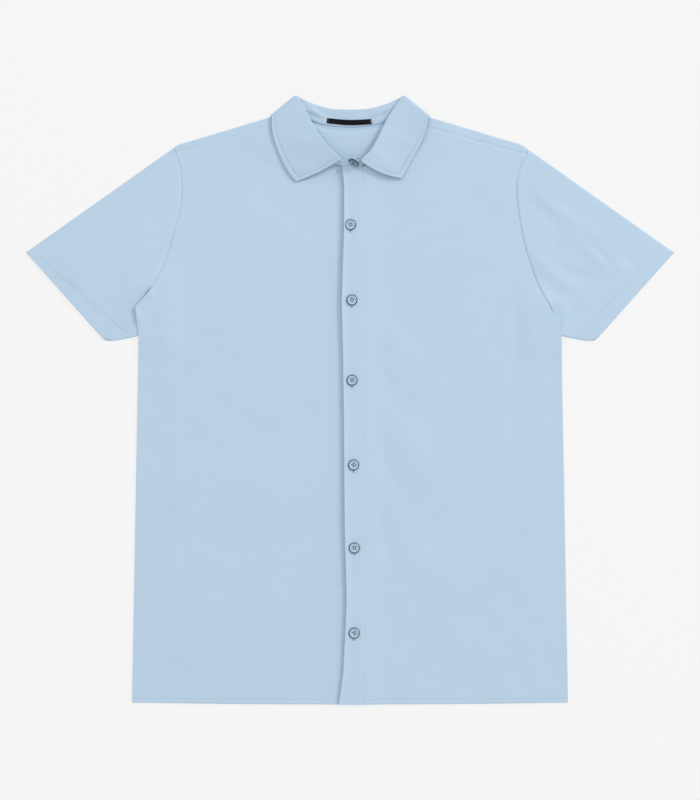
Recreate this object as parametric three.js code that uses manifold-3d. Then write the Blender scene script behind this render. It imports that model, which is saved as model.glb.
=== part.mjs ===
// A men's short-sleeved shirt with a collar, buttoned up and laid flat on its back.
// Millimetres, +Z up. The hem is towards -Y and the collar towards +Y, and the
// origin is under the middle of the garment's outline. Left and right are the
// wearer's, so the shirt's left side, with the buttonholes, is at +X.

import * as THREE from 'three';
import { mergeVertices } from 'three/addons/utils/BufferGeometryUtils.js';
import Module from 'manifold-3d';

const wasm = await Module();
wasm.setup();

// Cloth thicknesses and the clearance between pieces
const cloth = 1.2;
const collarCloth = 1.6;
const bandCloth = 2;
const labelCloth = 1;
const gap = 0.3;
const layer = cloth + gap;
const foldReach = cloth + gap / 2;
const foldRadius = layer / 2;
const foldTurns = [0.25, 0.5, 0.75, 1].map((part) => part * Math.PI);

// Points closer than this are one point
const tolerance = 1e-4;

// Stretches that the garment's lines are cut into
const steps = {
  armhole: 9,
  side: 9,
  underarm: 2,
  shoulder: 6,
  frontNeck: 8,
  backNeck: 6,
  mouth: 3,
  sleeve: 12,
  label: 8,
};

// Outline of the garment, given for the side at +X
const hemCorner = { x: 272.6, y: -378.1 };
const hemMiddleY = -380.5;
const sideTop = { x: 264.3, y: 80.4 };
const shoulderTip = { x: 213.8, y: 320 };
const neckPoint = { x: 72, y: 361.9 };
const cuffTop = { x: 405.3, y: 184.8 };
const cuffLow = { x: 308.5, y: 76.2 };
const sleeveLow = { x: 297, y: 74.2 };

// The sleeve's hem stands out over its last stretches
const sleeveHem = { stretches: 1, rise: 0.5 };

// What differs between the wearer's right and left sides of the body. The
// armhole runs from the shoulder fold to where it dips under the body.
const sides = {
  right: {
    sign: -1,
    armhole: [
      { x: 220.5, y: 315.5 },
      { x: 218.7, y: 309.5 },
      { x: 212.6, y: 290 },
      { x: 210.5, y: 264 },
      { x: 213.6, y: 236 },
      { x: 221.2, y: 209 },
      { x: 233.5, y: 168 },
      { x: 252.5, y: 133.5 },
    ],
    underarm: { x: 268, y: 117 },
    tuck: { x: 249, y: 86 },
    seamAtNeck: { x: 66.8, y: 352 },
  },
  left: {
    sign: 1,
    armhole: [
      { x: 223.2, y: 313.6 },
      { x: 220.6, y: 307.5 },
      { x: 210.8, y: 287 },
      { x: 208, y: 262 },
      { x: 211.6, y: 228 },
      { x: 219.6, y: 188 },
      { x: 234, y: 147 },
      { x: 252, y: 111.5 },
    ],
    underarm: { x: 262.8, y: 104 },
    tuck: { x: 250, y: 86 },
    seamAtNeck: { x: 66.5, y: 349.5 },
  },
};

// Neck edges: of the back, from one side to the middle, and of each front
const backNeck = [
  { x: 49, y: 350.6 },
  { x: 28, y: 344.2 },
  { x: 0, y: 341.6 },
];
const frontNeck = [
  { x: 61, y: 335 },
  { x: 47, y: 310 },
  { x: 33, y: 297.5 },
];
const neckBaseY = 292.3;

// The overlap at the centre front: edges of the two bands along their length
const bandRows = [
  { y: 292.3, free: -10, seam: 16 },
  { y: 270, free: -7.6, seam: 16.3 },
  { y: 219, free: -7.5, seam: 15.4 },
  { y: 125, free: -10.5, seam: 15.8 },
  { y: 60, free: -9, seam: 15.9 },
  { y: -30, free: -7.7, seam: 17.4 },
  { y: -160, free: -6.8, seam: 17.8 },
  { y: -250, free: -4.3, seam: 18.6 },
  { y: -290, free: -6, seam: 18.3 },
  { y: -340, free: -8.6, seam: 16.6 },
  { y: -380.5, free: -14, seam: 15.8 },
];
const underBand = { left: -15.3, right: 8.6 };
const bandLift = { height: 0.25, width: 7 };
const bandRowCount = 30;
const bandParts = [0, 0.3, 0.7, 1];

// The left front climbs onto the bands between these distances from the centre
const bandClimb = { full: 19, none: 46 };

// Collar: the roll line and the outer edge of the turned-down part, from the
// front edge at the wearer's right, round the back, to the one at the left
const collarRight = [
  { rollX: -10.6, rollY: 300.2, rollZ: 16.5, edgeX: -67.5, edgeY: 273.2, edgeZ: 4.8 },
  { rollX: -22.6, rollY: 311.6, rollZ: 14.6, edgeX: -77.2, edgeY: 285.5, edgeZ: 4.9 },
  { rollX: -35.6, rollY: 327.6, rollZ: 11.6, edgeX: -86.4, edgeY: 302.5, edgeZ: 5.4 },
  { rollX: -47, rollY: 346.5, rollZ: 8.4, edgeX: -93.6, edgeY: 321.5, edgeZ: 5.9 },
  { rollX: -56, rollY: 364.2, rollZ: 7, edgeX: -97.4, edgeY: 338, edgeZ: 6.3 },
];
const collarLeft = [
  { rollX: 54.6, rollY: 365.5, rollZ: 7, edgeX: 94.8, edgeY: 338, edgeZ: 6.3 },
  { rollX: 45.8, rollY: 351, rollZ: 8.4, edgeX: 90.8, edgeY: 325, edgeZ: 5.9 },
  { rollX: 35.8, rollY: 330, rollZ: 11.6, edgeX: 82.4, edgeY: 309, edgeZ: 5.4 },
  { rollX: 26.2, rollY: 312.4, rollZ: 14.6, edgeX: 73, edgeY: 292.5, edgeZ: 4.9 },
  { rollX: 12.8, rollY: 298.2, rollZ: 16.5, edgeX: 64.8, edgeY: 276.9, edgeZ: 4.8 },
];
const collarBack = [
  { rollX: -48, rollY: 371.6, edgeX: -78, edgeY: 340 },
  { rollX: -31, rollY: 366.2, edgeX: -50, edgeY: 328 },
  { rollX: -14, rollY: 363.9, edgeX: -22, edgeY: 322.2 },
  { rollX: 14, rollY: 363.9, edgeX: 22, edgeY: 322.2 },
  { rollX: 31, rollY: 366.2, edgeX: 50, edgeY: 328 },
  { rollX: 48, rollY: 371.6, edgeX: 78, edgeY: 340 },
];
const collarCrease = { rollX: 65.9, rollY: 378.9, edgeX: 98, edgeY: 352.7, topZ: 6.5 };
const creaseTurns = [0.2, 0.4, 0.6, 0.8];
const collarSteps = { front: 10, back: 14 };
const rollRim = { width: 3.6, step: 0.4, depth: collarCloth + gap };
const leafParts = [0.3, 0.55, 0.8, 1];
const leafCurve = 1.4;

// Collar stand: its top edge runs just outside the roll rim, and its seam is
// found along the neck edge, from the side of the neck to the middle
const stand = {
  inset: 4.7,
  slack: 0.4,
  frontAlong: [0.93, 0.77, 0.58, 0.38, 0.17],
  backAlong: [0.34, 0.6, 0.82],
  frontZ: 4.6,
  backZ: 2.7,
  clearFront: 1.3,
  clearBack: 0.5,
};
const standSteps = { hidden: 14, back: 12, button: 16 };
const standSide = { topX: 66.3, topY: 369.5, seamX: 66.2, seamY: 361.2 };
const standHidden = { topX: 10, topY: 303.6, topZ: 12, seamX: 10, seamY: 296.4, seamZ: 6.7 };
const standEntry = { topX: 13.5, topY: 299.2, topZ: 11.5, seamX: 16.8, seamY: 291.6, seamZ: 9.4 };
const standTab = { topX: -8.2, topY: 303, topZ: 17.2, seamX: -8.4, seamY: 290, seamZ: 8.7 };

// The collar lifts the body where its turned-down back lies underneath
const collarBed = { x: 0, y: 420, halfWidth: 134, halfDepth: 99 };
const backRamp = { full: 1.16, none: 1.34 };
const frontRamp = { full: 1.26, none: 1.52 };

// The front rises over the tucked sleeve: distances in from the tucked corner
// and down from it, and up from the armhole's lower end
const tuckRamp = { inNone: 48, inFull: 17, downNone: 45, downFull: 6, upFull: 7, upNone: 44 };

// A sleeve drops to the surface below past these distances from its underarm
const sleeveRamp = { outFull: 2, outNone: 22, upFull: 3, upNone: 26 };

// Long soft folds of the cloth that faces up
const fold = { columns: ['x', 'y', 'turn', 'length', 'width', 'height'] };
const frontFolds = [
  [60, 70, 2.3, 120, 16, 1.2],
  [72, -60, 2.2, 130, 18, 1.3],
  [66, -165, 2.15, 120, 16, 1.2],
  [-140, -110, 0.1, 220, 40, 1.6],
  [-120, 160, 1.2, 200, 50, 1.4],
  [150, 150, 1.7, 220, 45, 1.3],
  [170, -200, 0.15, 180, 45, 1.4],
  [-230, 60, 1.6, 120, 14, 0.9],
];
const frontCalm = { side: [2, 40], centre: [22, 50], hem: [0, 30], neck: [250, 300] };
const sleeveCalm = { cuff: [0.09, 0.2], mouth: [0.02, 0.12] };
const sleeveFolds = {
  left: [
    [262, 252, -0.85, 70, 8, 1.6],
    [286, 226, -0.8, 90, 9, 1.9],
    [318, 214, -0.8, 80, 8, 1.6],
    [268, 186, -0.9, 80, 9, 1.7],
    [300, 168, -0.85, 80, 9, 1.6],
    [342, 186, -0.75, 70, 8, 1.5],
    [276, 132, -0.9, 60, 8, 1.4],
  ],
  right: [
    [-300, 235, 0.6, 120, 16, 1.2],
    [-262, 170, 1.25, 90, 15, 1.3],
    [-330, 160, 0.7, 80, 14, 1],
  ],
};

// Buttons
const button = {
  radius: 6.4,
  height: 2.4,
  rim: 1.3,
  widestZ: 1,
  shoulderZ: 1.7,
  shoulderIn: 0.3,
  dish: 0.7,
  dishSlope: 0.8,
  holes: 4,
  holeRadius: 0.8,
  holeSpread: 1.7,
  sides: 20,
  holeSides: 6,
};
const buttonPlaces = [
  { x: 0.6, y: 219.1 },
  { x: 2.4, y: 125.1 },
  { x: 2.6, y: 25 },
  { x: 4.5, y: -80.8 },
  { x: 5.4, y: -184.3 },
  { x: 5.3, y: -290.6 },
];

// The collar's button leans towards the hem, turned a little about the vertical
const collarButton = { x: 4.6, y: 295.6, z: 16.2, lean: 54, twist: -26 };

// Neck label: its middle line and its height
const labelLine = [
  { x: -28.9, y: 349.4 },
  { x: -1, y: 347 },
  { x: 27.2, y: 348.2 },
];
const labelHeight = 6.6;

// Colours and surface of the real materials
const looks = {
  knit: { color: 0xb9cee3, roughness: 0.92 },
  shell: { color: 0x9fb6cb, roughness: 0.3 },
  blackTape: { color: 0x17181b, roughness: 0.85 },
};

// A smooth step from 0 to 1 as a value goes from one limit to the other
function ease(value, from, to) {
  const t = THREE.MathUtils.clamp((value - from) / (to - from), 0, 1);
  return t * t * (3 - 2 * t);
}

const mix = THREE.MathUtils.lerp;

function plan(point, sign = 1) {
  return new THREE.Vector2(point.x * sign, point.y);
}

// Evenly spaced points on a smooth line through a few points
function smooth(points, count) {
  return new THREE.SplineCurve(points).getSpacedPoints(count);
}

function straight(from, to, count) {
  return new THREE.LineCurve(from, to).getSpacedPoints(count);
}

// How far along a line each of its points lies, from 0 to 1
function fractions(line) {
  const reach = [0];
  for (let i = 1; i < line.length; i += 1) {
    reach.push(reach[i - 1] + line[i].distanceTo(line[i - 1]));
  }
  return reach.map((distance) => distance / reach[line.length - 1]);
}

// Points on a straight line, spaced as those of another line are
function spacedLike(from, to, line) {
  return fractions(line).map((part) => from.clone().lerp(to, part));
}

// Unit normals of a flat line, to the left of its direction
function lineNormals(line) {
  return line.map((point, i) => {
    const before = line[Math.max(i - 1, 0)];
    const after = line[Math.min(i + 1, line.length - 1)];
    const along = after.clone().sub(before).normalize();
    return new THREE.Vector2(-along.y, along.x);
  });
}

function moved(line, distance) {
  const normals = lineNormals(line);
  return line.map((point, i) => point.clone().addScaledVector(normals[i], distance));
}

// A grid of points that fills the space between four edges: low and high share
// its columns, start and end share its rows
function fill(low, high, start, end) {
  const lowPart = fractions(low);
  const highPart = fractions(high);
  const startPart = fractions(start);
  const endPart = fractions(end);
  const last = low.length - 1;
  const corner = (row, column, u, v) => {
    const across = low[0].clone().multiplyScalar(1 - u).addScaledVector(low[last], u);
    const above = high[0].clone().multiplyScalar(1 - u).addScaledVector(high[last], u);
    return across.multiplyScalar(1 - v).addScaledVector(above, v);
  };
  return start.map((startPoint, row) => low.map((lowPoint, column) => {
    const v = (startPart[row] + endPart[row]) / 2;
    const u = mix(lowPart[column], highPart[column], v);
    const point = startPoint.clone().multiplyScalar(1 - u).addScaledVector(end[row], u);
    point.addScaledVector(lowPoint, 1 - v).addScaledVector(high[column], v);
    return point.sub(corner(row, column, u, v));
  }));
}

// A closed solid between a face grid and the grid behind it. Cells can be left
// out at the border, and a ring joins its last column to its first.
function wall(face, behind, ring = false, has = () => true) {
  const rows = face.length;
  const columns = face[0].length;
  const points = [...face.flat(), ...behind.flat()];
  const at = (side, row, column) => (side * rows + row) * columns + (column % columns);
  const cells = ring ? columns : columns - 1;
  const filled = (row, column) => {
    const wrapped = ring ? (column + columns) % columns : column;
    return row >= 0 && row < rows - 1 && wrapped >= 0 && wrapped < cells && has(row, wrapped);
  };
  const triangles = [];
  const quad = (a, b, c, d) => triangles.push(a, b, c, a, c, d);
  for (let row = 0; row < rows - 1; row += 1) {
    for (let column = 0; column < cells; column += 1) {
      if (!filled(row, column)) continue;
      const next = column + 1;
      const up = row + 1;
      quad(at(0, row, column), at(0, row, next), at(0, up, next), at(0, up, column));
      quad(at(1, row, column), at(1, up, column), at(1, up, next), at(1, row, next));
      const border = (r1, c1, r2, c2) => quad(at(1, r1, c1), at(1, r2, c2), at(0, r2, c2), at(0, r1, c1));
      if (!filled(row - 1, column)) border(row, column, row, next);
      if (!filled(row + 1, column)) border(up, next, up, column);
      if (!filled(row, column - 1)) border(up, column, row, column);
      if (!filled(row, column + 1)) border(row, next, up, next);
    }
  }
  return facingOut(points, triangles);
}

// Six times the volume inside a list of triangles
function volume(points, triangles) {
  let sum = 0;
  for (let i = 0; i < triangles.length; i += 3) {
    const [a, b, c] = [0, 1, 2].map((corner) => points[triangles[i + corner]]);
    sum += a.dot(new THREE.Vector3().crossVectors(b, c));
  }
  return sum;
}

// The geometry of a closed solid, turned so that its faces point out
function facingOut(points, triangles) {
  const outward = volume(points, triangles) > 0 ? triangles : [...triangles].reverse();
  const used = [...new Set(outward)];
  const renumbered = new Map(used.map((index, place) => [index, place]));
  const geometry = new THREE.BufferGeometry();
  const positions = used.flatMap((index) => points[index].toArray());
  geometry.setAttribute('position', new THREE.Float32BufferAttribute(positions, 3));
  geometry.setIndex(outward.map((index) => renumbered.get(index)));
  return geometry;
}

// Raise of the body over the collar's turned-down back
function overCollar(x, y, ramp = backRamp) {
  const sideways = (x - collarBed.x) / collarBed.halfWidth;
  const reach = Math.hypot(sideways, (y - collarBed.y) / collarBed.halfDepth);
  return (collarCloth + gap) * (1 - ease(reach, ramp.full, ramp.none));
}

// Height of the folds at a place
function foldHeight(rows, x, y) {
  return rows.reduce((sum, row) => {
    const { x: midX, y: midY, turn, length, width, height } = named(row);
    const along = (x - midX) * Math.cos(turn) + (y - midY) * Math.sin(turn);
    const across = (y - midY) * Math.cos(turn) - (x - midX) * Math.sin(turn);
    const apart = ((2 * along) / length) ** 2 + (across / width) ** 2;
    return sum + height * Math.exp(-apart);
  }, 0);
}

function named(row) {
  return Object.fromEntries(fold.columns.map((column, i) => [column, row[i]]));
}

// One side of the body, with the lines that its pieces share
function makeSide(name) {
  const side = sides[name];
  const at = (point) => plan(point, side.sign);
  const [foldEnd, ...seamPoints] = side.armhole.map(at);
  const armhole = [foldEnd, ...smooth(seamPoints, steps.armhole)];
  const dip = armhole[armhole.length - 1];
  const sideSeam = [
    ...straight(at(hemCorner), at(sideTop), steps.side),
    ...straight(at(sideTop), at(side.underarm), steps.underarm).slice(1),
  ];
  const underarm = straight(at(side.underarm), dip, steps.underarm).slice(1);
  const edge = [...sideSeam, ...underarm, ...armhole.slice(1, -1).reverse()];
  const toNeck = straight(at(shoulderTip), at(neckPoint), steps.shoulder);
  const shoulder = [foldEnd, ...toNeck];
  const seam = spacedLike(armhole[1], at(side.seamAtNeck), shoulder);
  return { ...side, name, at, armhole, dip, edge, shoulder, seam };
}

const right = makeSide('right');
const left = makeSide('left');

// Raise at the underarm, where the sleeve is tucked under the front
function overTuck(side, x, y, rise) {
  const out = x * side.sign;
  const inward = ease(out, side.tuck.x - tuckRamp.inNone, side.tuck.x - tuckRamp.inFull);
  const down = ease(y, side.tuck.y - tuckRamp.downNone, side.tuck.y - tuckRamp.downFull);
  const up = 1 - ease(y, side.dip.y + tuckRamp.upFull, side.dip.y + tuckRamp.upNone);
  return rise * inward * down * up;
}

// Raise of a sleeve before it goes over the back's edge
function sleeveRise(side, x, y) {
  const out = x * side.sign;
  const { outFull, outNone, upFull, upNone } = sleeveRamp;
  const inward = 1 - ease(out, side.underarm.x + outFull, side.underarm.x + outNone);
  const up = 1 - ease(y, side.dip.y + upFull, side.dip.y + upNone);
  return layer * inward * up;
}

// Folds fade out towards the edges of a front
function openCloth(x, y) {
  const { side, centre, hem, neck } = frontCalm;
  const sideways = ease(hemCorner.x - Math.abs(x), ...side) * ease(Math.abs(x), ...centre);
  return sideways * ease(y - hemMiddleY, ...hem) * (1 - ease(y, ...neck));
}

function frontFloor(side, x, y) {
  const onBands = side === left ? 1 - ease(x, bandClimb.full, bandClimb.none) : 0;
  const folds = foldHeight(frontFolds, x, y) * openCloth(x, y);
  const raise = overCollar(x, y, frontRamp) + overTuck(side, x, y, 2 * layer);
  return layer + raise + onBands * (bandCloth + gap) + folds;
}

// A sheet of even thickness whose underside lies at a given height
function sheetOf(grid, floorAt, thickness) {
  const lifted = (point) => new THREE.Vector3(point.x, point.y, floorAt(point.x, point.y));
  const behind = grid.map((row) => row.map(lifted));
  const face = behind.map((row) => row.map((point) => point.clone().setZ(point.z + thickness)));
  return wall(face, behind);
}

// Where an edge of the upper band lies at a height along the front
function bandAt(y, column) {
  const rows = bandRows.map((row) => new THREE.Vector2(row[column], row.y));
  const next = Math.max(1, rows.findIndex((row) => row.y <= y + tolerance));
  const [upper, lower] = [rows[next - 1], rows[next]];
  return mix(upper.x, lower.x, (upper.y - y) / (upper.y - lower.y));
}

// The front's neck edge, from the shoulder seam to the centre
function frontNeckLine(side, top) {
  const points = [side.at(side.seamAtNeck), ...frontNeck.map((point) => side.at(point)), top];
  return smooth(points, steps.frontNeck);
}

// Half of the back's neck edge, from the side of the neck to the middle
function backNeckLine() {
  return smooth([plan(neckPoint), ...backNeck.map((point) => plan(point))], steps.backNeck);
}

function makeFront(side) {
  const centre = (y) => (side === left ? bandAt(y, 'seam') + gap : underBand.left - gap);
  const top = new THREE.Vector2(centre(neckBaseY), neckBaseY);
  const neck = frontNeckLine(side, top);
  const shoulderEdge = moved(side.seam, side.sign * gap);
  const high = [...shoulderEdge, ...neck.slice(1)];
  const start = side.edge.slice(0, -1).concat(high[0]);
  const low = spacedLike(start[0], new THREE.Vector2(centre(hemMiddleY), hemMiddleY), high);
  const end = fractions(start).map((part) => {
    const y = mix(hemMiddleY, neckBaseY, part);
    return new THREE.Vector2(centre(y), y);
  });
  return sheetOf(fill(low, high, start, end), (x, y) => frontFloor(side, x, y), cloth);
}

// The back, which turns over each shoulder to meet the front
function makeBack() {
  const shoulderPart = (side) => {
    const outward = -side.sign;
    const normals = lineNormals(side.shoulder).map((normal) => normal.multiplyScalar(outward));
    return { side, normals, inset: moved(side.shoulder, -outward * foldReach) };
  };
  const rightPart = shoulderPart(right);
  const leftPart = shoulderPart(left);
  const half = backNeckLine();
  const mirrored = half.map((point) => new THREE.Vector2(-point.x, point.y));
  const neck = [...mirrored.slice(1), ...half.slice(1, -1).reverse()];
  const high = [...rightPart.inset, ...neck, ...[...leftPart.inset].reverse()];
  const low = spacedLike(right.at(hemCorner), left.at(hemCorner), high);
  low.forEach((point) => point.setY(mix(hemMiddleY, hemCorner.y, (point.x / hemCorner.x) ** 2)));
  const start = [...right.edge, rightPart.inset[0]];
  const end = [...left.edge, leftPart.inset[0]];
  const grid = fill(low, high, start, end);
  const raised = (height) => grid.map((row) => row.map((point) => (
    new THREE.Vector3(point.x, point.y, overCollar(point.x, point.y) + height))));
  const face = raised(cloth);
  const behind = raised(0);

  const shoulderColumns = right.shoulder.length;
  const columns = high.length;
  const shoulderPlace = (column) => {
    const fromLeft = column >= columns - shoulderColumns;
    const place = fromLeft ? columns - 1 - column : column;
    return { part: fromLeft ? leftPart : rightPart, place: Math.min(place, shoulderColumns - 1) };
  };
  const foldRow = (turn, offset) => high.map((point, column) => {
    const { part, place } = shoulderPlace(column);
    const radius = foldRadius - offset;
    const base = part.inset[place].clone().addScaledVector(part.normals[place], radius * Math.sin(turn));
    const rim = part.side.shoulder[place];
    const height = foldReach - radius * Math.cos(turn) + overCollar(rim.x, rim.y);
    return new THREE.Vector3(base.x, base.y, height);
  });
  const seamRow = (height) => high.map((point, column) => {
    const { part, place } = shoulderPlace(column);
    const spot = part.side.seam[place];
    return new THREE.Vector3(spot.x, spot.y, height + overCollar(spot.x, spot.y));
  });
  foldTurns.forEach((turn) => {
    face.push(foldRow(turn, cloth / 2));
    behind.push(foldRow(turn, -cloth / 2));
  });
  face.push(seamRow(layer));
  behind.push(seamRow(layer + cloth));

  const panelRows = grid.length - 1;
  const atShoulder = (column) => column < shoulderColumns - 1 || column >= columns - shoulderColumns;
  return wall(face, behind, false, (row, column) => row < panelRows || atShoulder(column));
}

// A sleeve: one flattened tube, folded along its top and its underarm
function makeSleeve(side) {
  const outward = side.sign;
  const mouth = [...side.armhole, ...smooth([side.dip, side.at(side.tuck)], steps.mouth).slice(1)];
  const start = moved(mouth, outward * gap);
  const cuff = spacedLike(side.at(cuffTop), side.at(cuffLow), start);
  const topFold = straight(start[0], cuff[0], steps.sleeve);
  const underarm = [start[start.length - 1], side.at(sideTop), side.at(sleeveLow), cuff[cuff.length - 1]];
  const lowFold = smooth(underarm, steps.sleeve);
  const topInset = moved(topFold, -outward * foldReach);
  const lowInset = moved(lowFold, outward * foldReach);
  const grid = fill(topFold, lowFold, start, cuff);
  const lastLine = grid.length - 1;
  const lastStation = topFold.length - 1;

  const ringAt = (station, offset) => {
    const part = station / lastStation;
    const open = ease(1 - part, ...sleeveCalm.cuff) * ease(part, ...sleeveCalm.mouth);
    const hem = offset > 0 && station >= lastStation - sleeveHem.stretches ? sleeveHem.rise : 0;
    const line = [topInset[station], ...grid.slice(1, -1).map((row) => row[station]), lowInset[station]];
    const upper = line.map((point, i) => {
      const rise = sleeveRise(side, point.x, point.y);
      const fade = Math.sin((Math.PI * i) / lastLine) * open * (1 - rise / layer);
      const folds = foldHeight(sleeveFolds[side.name], point.x, point.y) * fade;
      return new THREE.Vector3(point.x, point.y, rise + foldReach + foldRadius + offset + folds + hem);
    });
    const lower = [...line].reverse().map((point) => {
      const rise = sleeveRise(side, point.x, point.y);
      return new THREE.Vector3(point.x, point.y, rise + foldReach - foldRadius - offset);
    });
    const turnAt = (rim, inset, turn) => {
      const out = rim.clone().sub(inset).normalize();
      const spot = inset.clone().addScaledVector(out, (foldRadius + offset) * Math.sin(turn));
      const height = foldReach + (foldRadius + offset) * Math.cos(turn);
      return new THREE.Vector3(spot.x, spot.y, height + sleeveRise(side, inset.x, inset.y));
    };
    const turns = foldTurns.slice(0, -1);
    const lowTurn = turns.map((turn) => turnAt(lowFold[station], lowInset[station], turn));
    const topTurn = turns.map((turn) => turnAt(topFold[station], topInset[station], Math.PI - turn));
    return [...upper, ...lowTurn, ...lower, ...topTurn];
  };
  const outer = topFold.map((point, station) => ringAt(station, cloth / 2));
  const inner = topFold.map((point, station) => ringAt(station, -cloth / 2));
  return wall(outer, inner, true);
}

// A band of the centre front, from the neck down to the hem
function makeBand(edges, floorAt) {
  const hem = new THREE.Vector2(0, hemMiddleY);
  const neck = new THREE.Vector2(0, neckBaseY);
  const grid = straight(hem, neck, bandRowCount).map(({ y }) => {
    const [from, to] = edges(y);
    return bandParts.map((part) => new THREE.Vector2(mix(from, to, part), y));
  });
  return sheetOf(grid, floorAt, bandCloth);
}

function underBandFloor(x, y) {
  return layer + overCollar(x, y, frontRamp);
}

function upperBandFloor(x, y) {
  const free = bandAt(THREE.MathUtils.clamp(y, hemMiddleY, neckBaseY), 'free');
  const lift = bandLift.height * (1 - ease(x - free, 0, bandLift.width));
  return underBandFloor(x, y) + bandCloth + gap + lift;
}

// A curved strip of cloth: a grid of middle points thickened along its normals
function strip(middle, thickness, extraBehind = () => 0) {
  const lastRow = middle.length - 1;
  const lastColumn = middle[0].length - 1;
  const normalAt = (row, column) => {
    const next = middle[Math.min(row + 1, lastRow)][column];
    const beside = middle[row][Math.min(column + 1, lastColumn)];
    const along = next.clone().sub(middle[Math.max(row - 1, 0)][column]);
    const across = beside.clone().sub(middle[row][Math.max(column - 1, 0)]);
    return along.cross(across).normalize();
  };
  const shifted = (distance) => middle.map((line, row) => line.map((point, column) => (
    point.clone().addScaledVector(normalAt(row, column), distance(column)))));
  return wall(shifted(() => thickness / 2), shifted((column) => -thickness / 2 - extraBehind(column)));
}

// Smooth pairs of points through given pairs, with a number of steps between two
function stationsThrough(pairs, count) {
  const [first, second] = [0, 1].map((end) => {
    const curve = new THREE.CatmullRomCurve3(pairs.map((pair) => pair[end]), false, 'centripetal');
    return curve.getPoints(count);
  });
  return first.map((point, i) => [point, second[i]]);
}

// A point of the turned-down collar, between its roll and its edge
function leafPoint(roll, edge, part) {
  const point = roll.clone().lerp(edge, part);
  return point.setZ(edge.z + (roll.z - edge.z) * (1 - part) ** leafCurve);
}

function rollOf(row) {
  return new THREE.Vector3(row.rollX, row.rollY, row.rollZ ?? collarCloth / 2);
}

function edgeOf(row) {
  return new THREE.Vector3(row.edgeX, row.edgeY, row.edgeZ ?? collarCloth / 2);
}

// The collar's crease at one side of the neck: roll and edge at each turn
function creaseOf(sign) {
  const radius = (collarCrease.topZ - collarCloth / 2) / 2;
  const middle = collarCloth / 2 + radius;
  const roll = new THREE.Vector3(collarCrease.rollX * sign, collarCrease.rollY, middle);
  const edge = new THREE.Vector3(collarCrease.edgeX * sign, collarCrease.edgeY, middle);
  const along = edge.clone().sub(roll).normalize();
  const turned = (turn) => new THREE.Vector3(
    -along.y * sign * Math.sin(turn),
    along.x * sign * Math.sin(turn),
    Math.cos(turn),
  );
  return (turn) => [roll, edge].map((point) => point.clone().addScaledVector(turned(turn), radius));
}

// The collar's turned-down part, creased at both sides of the neck
function makeFall() {
  const rightCrease = creaseOf(-1);
  const leftCrease = creaseOf(1);
  const pairsOf = (rows) => rows.map((row) => [rollOf(row), edgeOf(row)]);
  const turns = creaseTurns.map((part) => part * Math.PI);
  const back = [rightCrease(Math.PI), ...pairsOf(collarBack), leftCrease(Math.PI)];
  const stations = [
    ...stationsThrough([...pairsOf(collarRight), rightCrease(0)], collarSteps.front),
    ...turns.map(rightCrease),
    ...stationsThrough(back, collarSteps.back),
    ...[...turns].reverse().map(leftCrease),
    ...stationsThrough([leftCrease(0), ...pairsOf(collarLeft)], collarSteps.front),
  ];
  const middle = stations.map(([roll, edge]) => {
    const rim = rollRim.width / roll.distanceTo(edge);
    const step = rollRim.step / roll.distanceTo(edge);
    return [0, rim, rim + step, ...leafParts].map((part) => leafPoint(roll, edge, part));
  });
  const rimColumns = 2;
  return strip(middle, collarCloth, (column) => (column < rimColumns ? rollRim.depth : 0));
}

// A place along a neck edge, moved to the stand's side of it
function neckPlace(line, part, clear, z) {
  const spot = new THREE.SplineCurve(moved(line, clear)).getPointAt(part);
  return new THREE.Vector3(spot.x, spot.y, z);
}

// The collar's stand: hidden end, round the back, and the end with the button
function makeStand() {
  const topOf = (row, rise) => {
    const [roll, edge] = [rollOf(row), edgeOf(row)];
    const spot = leafPoint(roll, edge, stand.inset / roll.distanceTo(edge));
    return spot.setZ(spot.z + rise);
  };
  const front = (rows, side) => {
    const line = frontNeckLine(side, new THREE.Vector2(side.sign * underBand.right, neckBaseY));
    const shares = side === right ? stand.frontAlong : [...stand.frontAlong].reverse();
    return rows.map((row, i) => {
      const seam = neckPlace(line, shares[i], -side.sign * stand.clearFront, stand.frontZ);
      return [topOf(row, -collarCloth - gap - stand.slack), seam];
    });
  };
  const backShares = [...stand.backAlong, ...[...stand.backAlong].reverse()];
  const back = collarBack.map((row, i) => {
    const seam = neckPlace(backNeckLine(), backShares[i], -stand.clearBack, stand.backZ);
    return [topOf(row, collarCloth + gap), seam.setX(seam.x * Math.sign(row.rollX))];
  });
  const end = (row) => [
    new THREE.Vector3(row.topX, row.topY, row.topZ),
    new THREE.Vector3(row.seamX, row.seamY, row.seamZ),
  ];
  const turn = (sign) => [0, 0.5, 1].map((part) => {
    const out = ((stand.frontZ - stand.backZ) / 2) * Math.sin(part * Math.PI);
    const z = mix(stand.frontZ, stand.backZ, part);
    const place = (x, y) => new THREE.Vector3((x + out) * sign, y, z);
    return [place(standSide.topX, standSide.topY), place(standSide.seamX, standSide.seamY)];
  });
  const [rightTurn, leftTurn] = [turn(-1), turn(1).reverse()];
  const atButton = [...front(collarLeft, left), end(standEntry), end(standTab)];
  const stations = [
    ...stationsThrough([end(standHidden), ...front(collarRight, right), rightTurn[0]], standSteps.hidden),
    rightTurn[1],
    ...stationsThrough([rightTurn[2], ...back, leftTurn[0]], standSteps.back),
    leftTurn[1],
    ...stationsThrough([leftTurn[2], ...atButton], standSteps.button),
  ];
  const middle = stations.map(([high, low]) => [0, 0.5, 1].map((part) => high.clone().lerp(low, part)));
  return strip(middle, collarCloth);
}

// The tape sewn inside the back of the neck
function makeLabel() {
  const line = smooth(labelLine.map((point) => plan(point)), steps.label);
  const grid = [moved(line, -labelHeight / 2), moved(line, labelHeight / 2)];
  return sheetOf(grid, () => stand.backZ + collarCloth / 2 + gap, labelCloth);
}

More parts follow.
